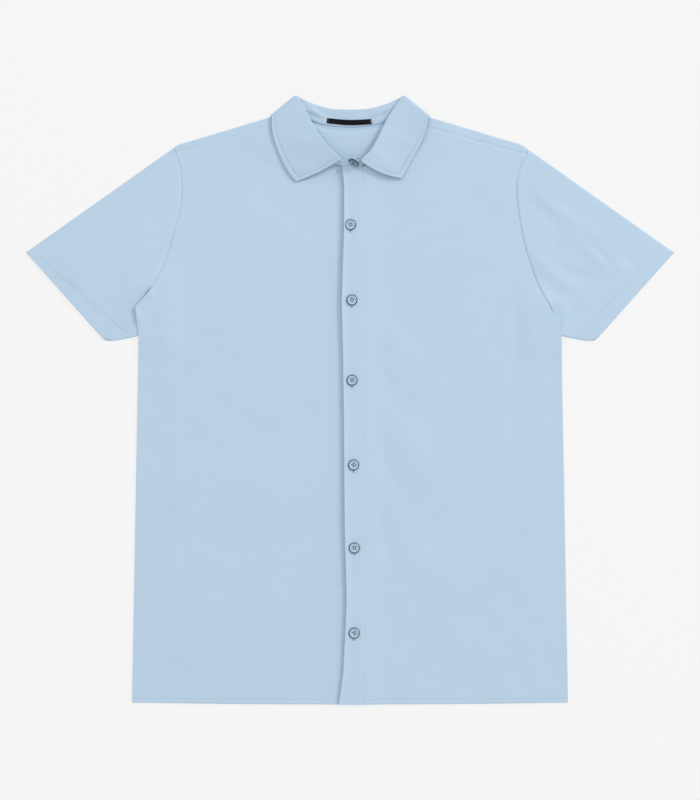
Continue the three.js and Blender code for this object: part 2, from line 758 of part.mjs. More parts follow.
// A closed solid for cutting, from a geometry with its shared corners merged
function solid(geometry) {
  const bare = geometry.clone();
  bare.deleteAttribute('normal');
  bare.deleteAttribute('uv');
  const merged = mergeVertices(bare, tolerance);
  const index = [...merged.index.array];
  const triVerts = [];
  for (let i = 0; i < index.length; i += 3) {
    const [a, b, c] = index.slice(i, i + 3);
    if (a !== b && b !== c && c !== a) triVerts.push(a, b, c);
  }
  const vertProperties = new Float32Array(merged.attributes.position.array);
  const mesh = new wasm.Mesh({ numProp: 3, vertProperties, triVerts: new Uint32Array(triVerts) });
  return new wasm.Manifold(mesh);
}

function geometryOf(manifold) {
  const { vertProperties, triVerts } = manifold.getMesh();
  const geometry = new THREE.BufferGeometry();
  geometry.setAttribute('position', new THREE.BufferAttribute(vertProperties, 3));
  geometry.setIndex(new THREE.BufferAttribute(triVerts, 1));
  return geometry;
}

// A sewn-through button with four holes, its back on the plane z = 0
function makeButton() {
  const { radius, height, rim, holes, holeRadius, holeSpread } = button;
  const floor = height - button.dish;
  const profile = [
    [0, 0],
    [radius - rim, 0],
    [radius, button.widestZ],
    [radius - button.shoulderIn, button.shoulderZ],
    [radius - rim, height],
    [radius - 2 * rim, height],
    [radius - 2 * rim - button.dishSlope, floor],
    [0, floor],
  ].map(([r, z]) => new THREE.Vector2(r, z));
  let body = solid(new THREE.LatheGeometry(profile, button.sides).rotateX(Math.PI / 2));
  for (let hole = 0; hole < holes; hole += 1) {
    const angle = ((hole + 0.5) * 2 * Math.PI) / holes;
    const drill = new THREE.CylinderGeometry(holeRadius, holeRadius, 4 * height, button.holeSides);
    drill.rotateX(Math.PI / 2);
    drill.translate(holeSpread * Math.cos(angle), holeSpread * Math.sin(angle), 0);
    body = body.subtract(solid(drill));
  }
  return geometryOf(body);
}

// The collar's button stands off the outer face of the stand's end
function placeCollarButton(mesh) {
  const { x, y, z, lean, twist } = collarButton;
  mesh.rotation.set(THREE.MathUtils.degToRad(lean), 0, THREE.MathUtils.degToRad(twist), 'ZYX');
  mesh.position.set(x, y, z);
}

function material(look) {
  return new THREE.MeshStandardMaterial({ ...look, metalness: 0 });
}

function node(name, geometry, look) {
  const mesh = new THREE.Mesh(geometry, material(look));
  mesh.name = name;
  return mesh;
}

const shirt = new THREE.Group();
shirt.add(node('back', makeBack(), looks.knit));
shirt.add(node('front_right', makeFront(right), looks.knit));
shirt.add(node('front_left', makeFront(left), looks.knit));
shirt.add(node('sleeve_right', makeSleeve(right), looks.knit));
shirt.add(node('sleeve_left', makeSleeve(left), looks.knit));
const underEdges = () => [underBand.left, underBand.right];
const upperEdges = (y) => [bandAt(y, 'free'), bandAt(y, 'seam')];
shirt.add(node('under_placket', makeBand(underEdges, underBandFloor), looks.knit));
shirt.add(node('placket', makeBand(upperEdges, upperBandFloor), looks.knit));
shirt.add(node('collar_fall', makeFall(), looks.knit));
shirt.add(node('collar_stand', makeStand(), looks.knit));
shirt.add(node('neck_label', makeLabel(), looks.blackTape));

buttonPlaces.forEach((place, i) => {
  const mesh = node(`button_${i + 1}`, makeButton(), looks.shell);
  mesh.position.set(place.x, place.y, layer + 2 * bandCloth + 2 * gap);
  shirt.add(mesh);
});

const topButton = node(`button_${buttonPlaces.length + 1}`, makeButton(), looks.shell);
placeCollarButton(topButton);
shirt.add(topButton);

export default shirt;
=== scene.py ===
import math

import bmesh
import bpy
import numpy as np
from mathutils import Matrix, Vector


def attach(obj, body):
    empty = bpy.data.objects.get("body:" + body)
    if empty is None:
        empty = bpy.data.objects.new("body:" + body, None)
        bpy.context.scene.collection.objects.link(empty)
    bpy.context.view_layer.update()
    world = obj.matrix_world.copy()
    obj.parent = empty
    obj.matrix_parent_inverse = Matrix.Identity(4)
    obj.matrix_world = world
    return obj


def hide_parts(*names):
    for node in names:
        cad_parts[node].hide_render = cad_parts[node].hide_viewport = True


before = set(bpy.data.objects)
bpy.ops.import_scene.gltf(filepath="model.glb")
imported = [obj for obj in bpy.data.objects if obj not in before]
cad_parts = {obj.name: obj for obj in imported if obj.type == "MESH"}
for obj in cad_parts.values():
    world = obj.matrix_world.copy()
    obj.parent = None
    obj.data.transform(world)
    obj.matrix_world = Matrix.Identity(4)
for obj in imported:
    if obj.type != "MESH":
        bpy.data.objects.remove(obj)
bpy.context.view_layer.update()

# A short-sleeved knitted shirt with a collar, buttoned up and laid flat on its back.
# Tables are in millimetres; meshes are made in metres. The hem is towards -Y, the wearer's left is +X.
mm = 0.001
gap = 0.3  # air between layers that touch in the real shirt
clothThick = 1.2
layer = clothThick + gap
foldReach = clothThick + gap / 2  # from a folded edge to the middle of its turn
foldRadius = layer / 2
print("stage: frame loaded", len(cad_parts), "nodes")


# lines and grids

def ease(value, low, high):
    t = np.clip((value - low) / (high - low), 0, 1)
    return t * t * (3 - 2 * t)


def bell(distance, width):
    return np.exp(-(distance / width) ** 2)


def span(start, reach):  # two limits, counted from a start
    return start + reach[0], start + reach[1]


def curveThrough(points, steps=16):  # a smooth line through a few points
    knots = np.array(points, float)
    spans = []
    t = np.linspace(0, 1, steps, endpoint=False)[:, None]
    for i in range(len(knots) - 1):
        before, here = knots[max(i - 1, 0)], knots[i]
        there, after = knots[i + 1], knots[min(i + 2, len(knots) - 1)]
        leave, reach = (there - before) / 2, (after - here) / 2
        cubic = (2 * here - 2 * there + leave + reach) * t ** 3
        square = (-3 * here + 3 * there - 2 * leave - reach) * t ** 2
        spans.append(cubic + square + leave * t + here)
    return np.vstack(spans + [knots[-1:]])


def reachAlong(line):
    steps = np.linalg.norm(np.diff(line, axis=0), axis=1)
    return np.concatenate([[0], np.cumsum(steps)])


def partsOf(line):
    reach = reachAlong(line)
    return reach / reach[-1]


def pointsAt(line, parts):  # points at shares of a line's length
    own = partsOf(line)
    return np.stack([np.interp(parts, own, line[:, axis]) for axis in range(line.shape[1])], axis=1)


def spaced(line, step):  # the same line with points about step apart
    line = np.array(line, float)
    count = max(2, round(reachAlong(line)[-1] / step))
    return pointsAt(line, np.linspace(0, 1, count + 1))


def chained(*lines):
    return np.vstack([lines[0]] + [line[1:] for line in lines[1:]])


def spacedLike(start, end, line):
    part = partsOf(line)[:, None]
    return np.array(start) * (1 - part) + np.array(end) * part


def unit(vectors):
    return vectors / np.linalg.norm(vectors, axis=-1)[..., None]


def leftNormals(line):
    along = unit(np.gradient(line, axis=0))
    return np.stack([-along[:, 1], along[:, 0]], axis=1)


def moved(line, distance):
    return line + leftNormals(line) * distance


def fill(low, high, start, end):  # a grid between four edges: rows follow start and end
    v = ((partsOf(start) + partsOf(end)) / 2)[:, None]
    u = partsOf(low)[None, :] * (1 - v) + partsOf(high)[None, :] * v
    u, v = u[..., None], v[..., None]
    sides = start[:, None] * (1 - u) + end[:, None] * u
    ends = low[None] * (1 - v) + high[None] * v
    corners = (low[0] * (1 - u) + low[-1] * u) * (1 - v) + (high[0] * (1 - u) + high[-1] * u) * v
    return sides + ends - corners


def distanceTo(line, x, y):  # shortest way from each place to a line, seen from above
    best = np.full(x.shape, 1e9)
    for a, b in zip(line[:-1, :2], line[1:, :2]):
        along = b - a
        share = np.clip(((x - a[0]) * along[0] + (y - a[1]) * along[1]) / (along @ along), 0, 1)
        best = np.minimum(best, np.hypot(x - a[0] - share * along[0], y - a[1] - share * along[1]))
    return best


def withExtra(line, fromStart=(), fromEnd=()):  # the same line with more points near its ends
    reach = reachAlong(line)
    wanted = np.concatenate([reach, fromStart, reach[-1] - np.array(fromEnd)])
    return pointsAt(line, np.unique(np.round(wanted, 3)) / reach[-1])


def raised(grid, height):  # flat points with a height for each
    return np.concatenate([grid, height[..., None]], axis=-1)


# meshes

def meshOf(name, points, ring=False, keep=None):  # a grid of points as quads
    rows, columns = points.shape[:2]
    index = np.arange(rows * columns).reshape(rows, columns)
    after = np.roll(index, -1, axis=1)
    cells = columns if ring else columns - 1
    quads = np.stack([index[:-1, :cells], after[:-1, :cells], after[1:, :cells], index[1:, :cells]], axis=-1)
    if keep is not None:
        quads = quads[keep]
    quads = quads.reshape(-1, 4)
    used, renumbered = np.unique(quads, return_inverse=True)
    corners = points.reshape(-1, 3)[used] * mm
    mesh = bpy.data.meshes.new(name)
    mesh.from_pydata(corners.tolist(), [], renumbered.reshape(-1, 4).tolist())
    mesh.update()
    return mesh


def addObject(name, data):
    thing = bpy.data.objects.new(name, data)
    bpy.context.scene.collection.objects.link(thing)
    return thing


def addPiece(name, mesh, material):
    piece = addObject(name, mesh)
    mesh.materials.clear()
    mesh.materials.append(material)
    return piece


def mend(mesh, reach=1e-6):  # joins doubled points and turns every face out
    work = bmesh.new()
    work.from_mesh(mesh)
    bmesh.ops.remove_doubles(work, verts=work.verts, dist=reach)
    bmesh.ops.recalc_face_normals(work, faces=work.faces)
    work.to_mesh(mesh)
    work.free()


def settle(piece):  # turns a piece's modifiers into plain mesh
    graph = bpy.context.evaluated_depsgraph_get()
    finished = bpy.data.meshes.new_from_object(piece.evaluated_get(graph))
    material = piece.data.materials[0]
    piece.modifiers.clear()
    piece.data = finished
    mend(finished)
    finished.shade_smooth()
    finished.materials.clear()
    finished.materials.append(material)


def standFor(node, piece):  # the piece takes the place of the solid of that name
    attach(piece, "root")
    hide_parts(node)
    return piece


def clothShell(node, points, thick, material, rounding=0.45, ring=False, keep=None, ending="_cloth"):
    piece = addPiece(node + ending, meshOf(node + ending, points, ring, keep), material)
    wall = piece.modifiers.new("wall", "SOLIDIFY")
    wall.thickness = thick * mm
    wall.offset = 0
    edge = piece.modifiers.new("edge", "BEVEL")
    edge.width = rounding * mm
    edge.segments = 2
    edge.limit_method = "ANGLE"
    edge.angle_limit = math.radians(55)
    settle(piece)
    return standFor(node, piece)


# materials

def linear(hexColour):  # sRGB hex to linear
    parts = [int(hexColour[i:i + 2], 16) / 255 for i in (1, 3, 5)]
    lit = [p / 12.92 if p <= 0.04045 else ((p + 0.055) / 1.055) ** 2.4 for p in parts]
    return (*lit, 1)


def addNode(tree, kind, inputs=(), out=0, **settings):  # one node with its values, links and settings
    node = tree.nodes.new(kind)
    for key, value in settings.items():
        setattr(node, key, value)
    for key, value in dict(inputs).items():
        if isinstance(value, bpy.types.NodeSocket):
            tree.links.new(value, node.inputs[key])
        else:
            node.inputs[key].default_value = value
    return node.outputs[out] if len(node.outputs) else None


def newMaterial(name):
    material = bpy.data.materials.new(name)
    material.use_nodes = True
    material.node_tree.nodes.clear()
    return material, material.node_tree


def addMath(tree, operation, *values):
    return addNode(tree, "ShaderNodeMath", enumerate(values), operation=operation)


def finishMaterial(tree, colour, tone, surface):  # the colour at its tone, given to a surface
    tint = addNode(tree, "ShaderNodeHueSaturation", {"Value": tone, "Color": colour})
    shader = addNode(tree, "ShaderNodeBsdfPrincipled", {"Base Color": tint, **surface})
    addNode(tree, "ShaderNodeOutputMaterial", {"Surface": shader})


# Combed cotton jersey: matt, softly fuzzy, faint columns of stitches, a breath of uneven dye
def makeJersey(name, colour, turn=0):
    jersey = {  # wales and courses at twice their real size, so that they show
        "wale": 1.6, "course": 1.25, "depth": 0.10, "stitchShare": 0.03, "mottle": 14, "mottleShare": 0.03,
        "streak": 34, "streakRatio": 14, "streakShare": 0.09, "drift": 90, "driftShare": 0.8,
        "fuzz": 1400, "fuzzShare": 0.35, "roughness": 0.93, "sheen": 0.06,
    }
    material, tree = newMaterial(name)
    place = addNode(tree, "ShaderNodeTexCoord", out="Object")
    turned = addNode(tree, "ShaderNodeMapping", {"Vector": place, "Rotation": (0, 0, turn)})
    axes = addNode(tree, "ShaderNodeSeparateXYZ", {0: turned}).node.outputs
    drift = addNode(tree, "ShaderNodeTexNoise", {"Vector": turned, "Scale": jersey["drift"], "Detail": 2})
    drift = addMath(tree, "MULTIPLY", drift, jersey["driftShare"])
    across = addMath(tree, "ADD", addMath(tree, "DIVIDE", axes[0], jersey["wale"] * mm), drift)
    half = addMath(tree, "PINGPONG", across, 0.5)
    leg = addMath(tree, "SINE", addMath(tree, "MULTIPLY", half, 2 * math.pi))
    along = addMath(tree, "ADD", addMath(tree, "DIVIDE", axes[1], jersey["course"] * mm), half)
    loop = addMath(tree, "SINE", addMath(tree, "MULTIPLY", along, 2 * math.pi))
    stitch = addMath(tree, "MULTIPLY", leg, addMath(tree, "MULTIPLY_ADD", loop, 0.25, 0.75))
    patch = addNode(tree, "ShaderNodeTexNoise", {"Vector": turned, "Scale": jersey["mottle"], "Detail": 3})
    drawn = addNode(tree, "ShaderNodeMapping", {"Vector": place, "Scale": (1, jersey["streakRatio"], 1)})
    streak = addNode(tree, "ShaderNodeTexNoise", {"Vector": drawn, "Scale": jersey["streak"], "Detail": 3})
    tone = 1
    for value, share in ((stitch, "stitchShare"), (patch, "mottleShare"), (streak, "streakShare")):
        around = addMath(tree, "MULTIPLY_ADD", value, jersey[share], 1 - jersey[share] / 2)
        tone = addMath(tree, "MULTIPLY", tone, around)
    fuzz = addNode(tree, "ShaderNodeTexNoise", {"Vector": turned, "Scale": jersey["fuzz"], "Detail": 2})
    height = addMath(tree, "MULTIPLY_ADD", fuzz, jersey["fuzzShare"], stitch)
    bump = addNode(tree, "ShaderNodeBump", {"Height": height, "Strength": 0.35, "Distance": jersey["depth"] * mm})
    finishMaterial(tree, linear(colour), tone, {
        "Roughness": jersey["roughness"], "Normal": bump,
        "Sheen Weight": jersey["sheen"], "Sheen Roughness": 0.5, "Specular IOR Level": 0.2,
    })
    return material


# Spun polyester sewing thread: near the cloth's own tone, with a slight gloss
def makeThread(name, colour):
    material, tree = newMaterial(name)
    place = addNode(tree, "ShaderNodeTexCoord", out="Object")
    twist = addNode(tree, "ShaderNodeTexNoise", {"Vector": place, "Scale": 2200, "Detail": 1})
    tone = addMath(tree, "MULTIPLY_ADD", twist, 0.2, 0.9)
    finishMaterial(tree, linear(colour), tone, {"Roughness": 0.6, "Sheen Weight": 0.1, "Specular IOR Level": 0.35})
    return material


# Moulded polyester button: glossy, cool and a little milky, with faint pearly swirls; the darker colour that the
# "rim" attribute mixes in is partly a deeper rim tone, mostly painted shade
def makeButtonResin(name, colour, rimToneAndShadeColour):
    material, tree = newMaterial(name)
    place = addNode(tree, "ShaderNodeTexCoord", out="Object")
    swirl = addNode(tree, "ShaderNodeTexNoise", {"Vector": place, "Scale": 260, "Detail": 3, "Distortion": 1.5})
    # the "rim" attribute mixes in painted shade, with some deeper rim tone
    rim = addNode(tree, "ShaderNodeAttribute", out="Fac", attribute_name="rim")
    shade = addNode(tree, "ShaderNodeMix", {0: rim, 6: linear(colour), 7: linear(rimToneAndShadeColour)}, 2, data_type="RGBA")
    tone = addMath(tree, "MULTIPLY_ADD", swirl, 0.25, 0.87)
    rough = addMath(tree, "MULTIPLY_ADD", swirl, 0.1, 0.22)
    finishMaterial(tree, shade, tone, {"Roughness": rough, "IOR": 1.54, "Coat Weight": 0.3, "Coat Roughness": 0.1})
    return material


# Woven satin label tape: dense black, a low sheen across fine ribs
def makeLabelTape(name, colour):
    material, tree = newMaterial(name)
    place = addNode(tree, "ShaderNodeTexCoord", out="Object")
    ribs = addNode(tree, "ShaderNodeTexWave", {"Vector": place, "Scale": 500}, "Fac", bands_direction="Y")
    bump = addNode(tree, "ShaderNodeBump", {"Height": ribs, "Strength": 0.4, "Distance": 0.05 * mm})
    tone = addMath(tree, "MULTIPLY_ADD", ribs, 0.4, 0.8)
    finishMaterial(tree, linear(colour), tone, {"Roughness": 0.6, "Normal": bump, "Specular IOR Level": 0.15})
    return material


jerseyBlue = "#B9CFE3"
sleeveGrain = math.radians(52)  # how far a sleeve's cloth is turned from the body's
bodyJersey = makeJersey("combedJerseyBody", jerseyBlue)
sleeveJerseyRight = makeJersey("combedJerseySleeveRight", jerseyBlue, sleeveGrain)
sleeveJerseyLeft = makeJersey("combedJerseySleeveLeft", jerseyBlue, -sleeveGrain)
collarJersey = makeJersey("combedJerseyCollar", "#B6CCE0")
seamThread = makeThread("spunPolyesterThread", "#A6BED6")
# dark thread for the buttons; the same colour fills the buttonhole slits as painted shade
buttonThreadAndSlitShade = makeThread("buttonThreadAndSlitShade", "#456080")
buttonResin = makeButtonResin("mouldedPolyesterButton", "#BCD3E8", "#2A3E54")
shadedCollarButtonResin = makeButtonResin("mouldedPolyesterCollarButtonPaintedShade", "#93ABC2", "#0F1C2B")  # the neck button's resin is darkened: painted shade for its tilt into shadow
labelTape = makeLabelTape("wovenLabelTape", "#040507")
print("stage: materials made")


# the cut of the body

body = {
    "hemCorner": (272.6, -378.1), "hemMiddleY": -380.5, "sideTop": (264.3, 80.4),
    "shoulderTip": (213.8, 320), "neckPoint": (72, 361.9), "neckBaseY": 292.3,
    "frontNeck": [(61, 335), (47, 310), (33, 297.5)],
    "backNeck": [(49, 350.6), (28, 344.2), (0, 341.6)],
    "cell": 3.0, "backCell": 4.5, "hemStitch": 5.0, "hemSink": 0.35, "hemSinkWidth": 1.1,
    "hemRows": [3.6, 4.3, 5, 5.7, 6.4, 7.4], "stitchEnd": 6, "stitchMiddle": 20, "stitchPoints": 90,
}
cutRight = {
    "name": "right", "sign": -1, "foldEnd": (220.5, 315.5),
    "armhole": [
        (218.7, 309.5), (212.6, 290), (210.5, 264), (213.6, 236), (221.2, 209), (233.5, 168), (252.5, 133.5),
    ],
    "underarm": (268, 117), "tuck": (249, 86), "seamAtNeck": (66.8, 352),
}
cutLeft = {
    "name": "left", "sign": 1, "foldEnd": (223.2, 313.6),
    "armhole": [
        (220.6, 307.5), (210.8, 287), (208, 262), (211.6, 228), (219.6, 188), (234, 147), (252, 111.5),
    ],
    "underarm": (262.8, 104), "tuck": (250, 86), "seamAtNeck": (66.5, 349.5),
}
collarBed = {"y": 420, "halfWidth": 134, "halfDepth": 99, "rise": 1.9}
backRamp = (1.16, 1.34)
frontRamp = (1.26, 1.52)

band = {
    "thick": 2, "shown": 1.3, "underLeft": -15.3, "underRight": 8.6, "cell": 2.4, "join": 0.03,
    "underSink": 0.65, "seamSink": 0.45, "seamSinkWidth": 1.6, "seamRise": 0.2, "seamRiseWidth": 4,
    "shares": [0, 0.04, 0.1, 0.18, 0.3, 0.45, 0.6, 0.75, 0.87, 0.95, 1], "liftFade": (-2, 8),
    "lift": [1.2, 1.8, 2.6, 2.8, 2.3, 2.2, 2.6, 2.3, 2, 1.2, 0.6],
    "y": [292.3, 270, 219, 125, 60, -30, -160, -250, -290, -340, -380.5],
    "free": [-10, -7.6, -7.5, -10.5, -9, -7.7, -6.8, -4.3, -6, -8.6, -14],
    "seam": [16, 16.3, 15.4, 15.8, 15.9, 17.4, 17.8, 18.6, 18.3, 16.6, 15.8],
}

# Soft ridges of the cloth: x and y of the middle, turn, length, width across, height
frontCreases = [
    (60, 70, 2.3, 120, 16, 1.2), (72, -60, 2.2, 130, 18, 1.3), (66, -165, 2.15, 120, 16, 1.2),
    (46, 30, 2.2, 70, 6, -0.5), (52, -92, 2.1, 80, 6, -0.5), (48, -190, 2.2, 70, 6, -0.4),
    (-140, -110, 0.1, 220, 40, 1.6), (-120, 160, 1.2, 200, 50, 1.4), (150, 150, 1.7, 220, 45, 1.3),
    (170, -200, 0.15, 180, 45, 1.4), (-230, 60, 1.6, 120, 14, 0.9), (-236, 30, 0.5, 60, 8, 0.6),
    (-218, -40, 1.571, 520, 5, 0.35), (206, -20, 1.571, 520, 5, -0.35), (0, -172, 0, 620, 22, -0.7),
]
leftSleeveCreases = [
    (262, 237, -0.64, 70, 8, 1.5), (311, 205, -0.55, 46, 9, 1.0), (267, 249, -0.82, 50, 6, -0.8),
    (276, 264, -0.64, 38, 7, 1.0), (300, 232, -0.75, 34, 7, -0.8), (337, 217, -0.71, 38, 7, -0.9),
    (366, 198, -0.55, 50, 9, 1.3), (314, 230, -0.7, 30, 7, 0.9), (306, 179, -0.79, 40, 7, 1.2),
    (318, 179, -0.75, 34, 6, -0.8), (334, 171, -0.7, 40, 7, 1.1), (352, 175, -0.8, 34, 7, -1.0),
    (290, 156, -0.25, 56, 8, -1.0), (258, 156, -0.73, 74, 9, 1.5), (263, 126, -0.7, 48, 7, -1.0),
    (250, 228, -0.9, 54, 8, -0.8), (256, 196, -0.65, 34, 8, -0.8), (236, 262, -1.1, 40, 7, 0.8),
]
rightSleeveCreases = [
    (-300, 235, 0.6, 120, 16, 1.2), (-262, 170, 1.25, 90, 15, 1.3), (-330, 160, 0.7, 80, 14, 1),
    (-312, 254, 0.62, 60, 9, -0.7), (-372, 200, 0.5, 40, 9, -0.6), (-240, 215, 1.4, 60, 9, -0.6),
    (-296, 130, 0.3, 50, 9, 0.8), (-268, 205, 0.9, 46, 8, 0.6),
]


def creaseHeight(rows, x, y):
    total = np.zeros_like(x)
    for middleX, middleY, turn, length, width, height in rows:
        dx, dy = x - middleX, y - middleY
        c, s = math.cos(turn), math.sin(turn)
        along, across = dx * c + dy * s, dy * c - dx * s
        total += height * np.exp(-4 * (along / length) ** 2 - (across / width) ** 2)
    return total


shoulderNick = [(212.6, 300, 1.63, 22, 1.6, -0.55), (216.2, 302, 1.4, 16, 2.2, 0.45)]
underarm = {"right": (3.4, 88, 106), "left": (0.8, 84, 100), "reach": 9}  # lift, and the heights where it starts
seam = {"depth": 0.55, "width": 1.2, "lip": 0.45, "lipAt": 2.6, "lipWidth": 2, "near": [0.6, 1.2, 2.0]}
# Where the soft folds of a front fade out, and where it climbs over the bands and the tucked sleeve
drape = {
    "wander": 0.28, "side": 272, "sideFade": (2, 40), "bandFade": (22, 50), "hemFade": (-380, -350),
    "yokeFade": (250, 300), "overBand": (19, 46), "inward": (-48, -17), "up": (-45, -6), "down": (7, 44),
    "sleeveInward": (2, 22), "sleeveDown": (3, 26),
}


def seamValley(line, x, y):  # how far the cloth sinks towards a sewn edge
    return seam["depth"] * bell(distanceTo(line, x, y), seam["width"])


def wander(x, y):  # the slight unevenness that no ironing takes out
    waves = np.sin(x / 13 + 1.7 * np.sin(y / 41)) * np.sin(y / 17 + 1.3 * np.sin(x / 37))
    return drape["wander"] * (waves + 0.6 * np.sin(x / 31 - y / 23 + 2))


def flip(points, sign):
    return np.array(points, float) * np.array([sign, 1])


def prepareSide(cut):  # the lines that a side's front, sleeve and back share
    sign, cell = cut["sign"], body["cell"]
    hemCorner, sideTop, tip, neckPoint = [
        flip(body[key], sign) for key in ("hemCorner", "sideTop", "shoulderTip", "neckPoint")
    ]
    foldEnd, underarm, tuckAt, seamAtNeck = [
        flip(cut[key], sign) for key in ("foldEnd", "underarm", "tuck", "seamAtNeck")
    ]
    armhole = spaced(curveThrough(flip(cut["armhole"], sign)), cell)
    shoulder = chained(spaced([foldEnd, tip], cell), spaced([tip, neckPoint], cell))
    return {
        **cut, "foldEnd": foldEnd, "line": armhole, "dip": armhole[-1], "tuckAt": tuckAt,
        "side": [spaced([hemCorner, sideTop], cell), spaced([sideTop, underarm], cell)],
        "under": spaced([underarm, armhole[-1]], cell), "shoulder": shoulder,
        "seam": spacedLike(armhole[0], seamAtNeck, shoulder), "seamAtNeck": seamAtNeck,
    }


sideRight, sideLeft = prepareSide(cutRight), prepareSide(cutLeft)


def overCollar(x, y, ramp):  # rise of the body over the collar's turned-down back
    reach = np.hypot(x / collarBed["halfWidth"], (y - collarBed["y"]) / collarBed["halfDepth"])
    return collarBed["rise"] * (1 - ease(reach, *ramp))


def overTuck(side, x, y):  # rise of the front over the tucked sleeve
    inward = ease(x * side["sign"], *span(side["tuck"][0], drape["inward"]))
    up = ease(y, *span(side["tuck"][1], drape["up"]))
    return 2 * layer * inward * up * (1 - ease(y, *span(side["dip"][1], drape["down"])))


def sleeveRise(side, x, y):  # rise of a sleeve before it goes over the back's edge
    inward = 1 - ease(x * side["sign"], *span(side["underarm"][0], drape["sleeveInward"]))
    return layer * inward * (1 - ease(y, *span(side["dip"][1], drape["sleeveDown"])))


def bandEdge(y, column):
    return np.interp(y, band["y"][::-1], band[column][::-1])


def frontHeight(side, x, y):  # middle of the front's cloth
    onBand = (band["thick"] + gap) * (1 - ease(x, *drape["overBand"])) if side["sign"] > 0 else 0
    free = ease(drape["side"] - np.abs(x), *drape["sideFade"]) * ease(np.abs(x), *drape["bandFade"])
    free = free * ease(y, *drape["hemFade"]) * (1 - ease(y, *drape["yokeFade"]))
    creases = (creaseHeight(frontCreases, x, y) + wander(x, y)) * free
    return layer + clothThick / 2 + overCollar(x, y, frontRamp) + overTuck(side, x, y) + onBand + creases


def frontDetail(side, x, y):  # seams, the hem's stitched line and the lifted underarm, added to the height
    sewn = np.maximum(seamValley(side["line"], x, y), seamValley(side["seam"], x, y))
    hemEdge = np.array([flip(body["hemCorner"], side["sign"]), (0, body["hemMiddleY"])])
    fromStitches = distanceTo(hemEdge + np.array([0, body["hemStitch"]]), x, y)
    sunk = body["hemSink"] * bell(fromStitches, body["hemSinkWidth"])
    lip = chained(side["under"], side["side"][1][::-1])
    lift, *heights = underarm[side["name"]]
    lifted = lift * ease(y, *heights) * bell(distanceTo(lip, x, y), underarm["reach"])
    if side["sign"] > 0:
        lifted = lifted + creaseHeight(shoulderNick, x, y)
        lifted = lifted + band["seamRise"] * bell(x - bandEdge(y, "seam"), band["seamRiseWidth"])
    else:
        lifted = lifted + seam["lip"] * bell(distanceTo(side["line"], x, y) - seam["lipAt"], seam["lipWidth"])
    return lifted - sewn - sunk


def neckLineFront(side, top):
    return curveThrough([side["seamAtNeck"], *flip(body["frontNeck"], side["sign"]), top])


def bandSide(side, y):  # points where a front meets its band
    if side["sign"] > 0:
        x = bandEdge(y, "seam") + band["join"]
    else:
        x = y * 0 + band["underLeft"] - band["join"]
    return np.stack([x, y], axis=-1)


def makeFront(side):
    top, bottom = body["neckBaseY"], body["hemMiddleY"]
    high = chained(side["seam"], spaced(neckLineFront(side, bandSide(side, np.array(top))), body["cell"]))
    high = withExtra(high, seam["near"], seam["near"])
    start = chained(*side["side"], side["under"], side["line"][::-1])
    start = withExtra(start, body["hemRows"], seam["near"])  # rows on both sides of the hem's stitches
    low = spacedLike(start[0], bandSide(side, np.array(bottom)), high)
    end = bandSide(side, bottom + (top - bottom) * partsOf(start))
    grid = fill(low, high, start, end)
    x, y = grid[..., 0], grid[..., 1]
    points = raised(grid, frontHeight(side, x, y) + frontDetail(side, x, y))
    return clothShell("front_" + side["name"], points, clothThick, bodyJersey, rounding=0.2)


frontRight, frontLeft = makeFront(sideRight), makeFront(sideLeft)
print("stage: fronts made")


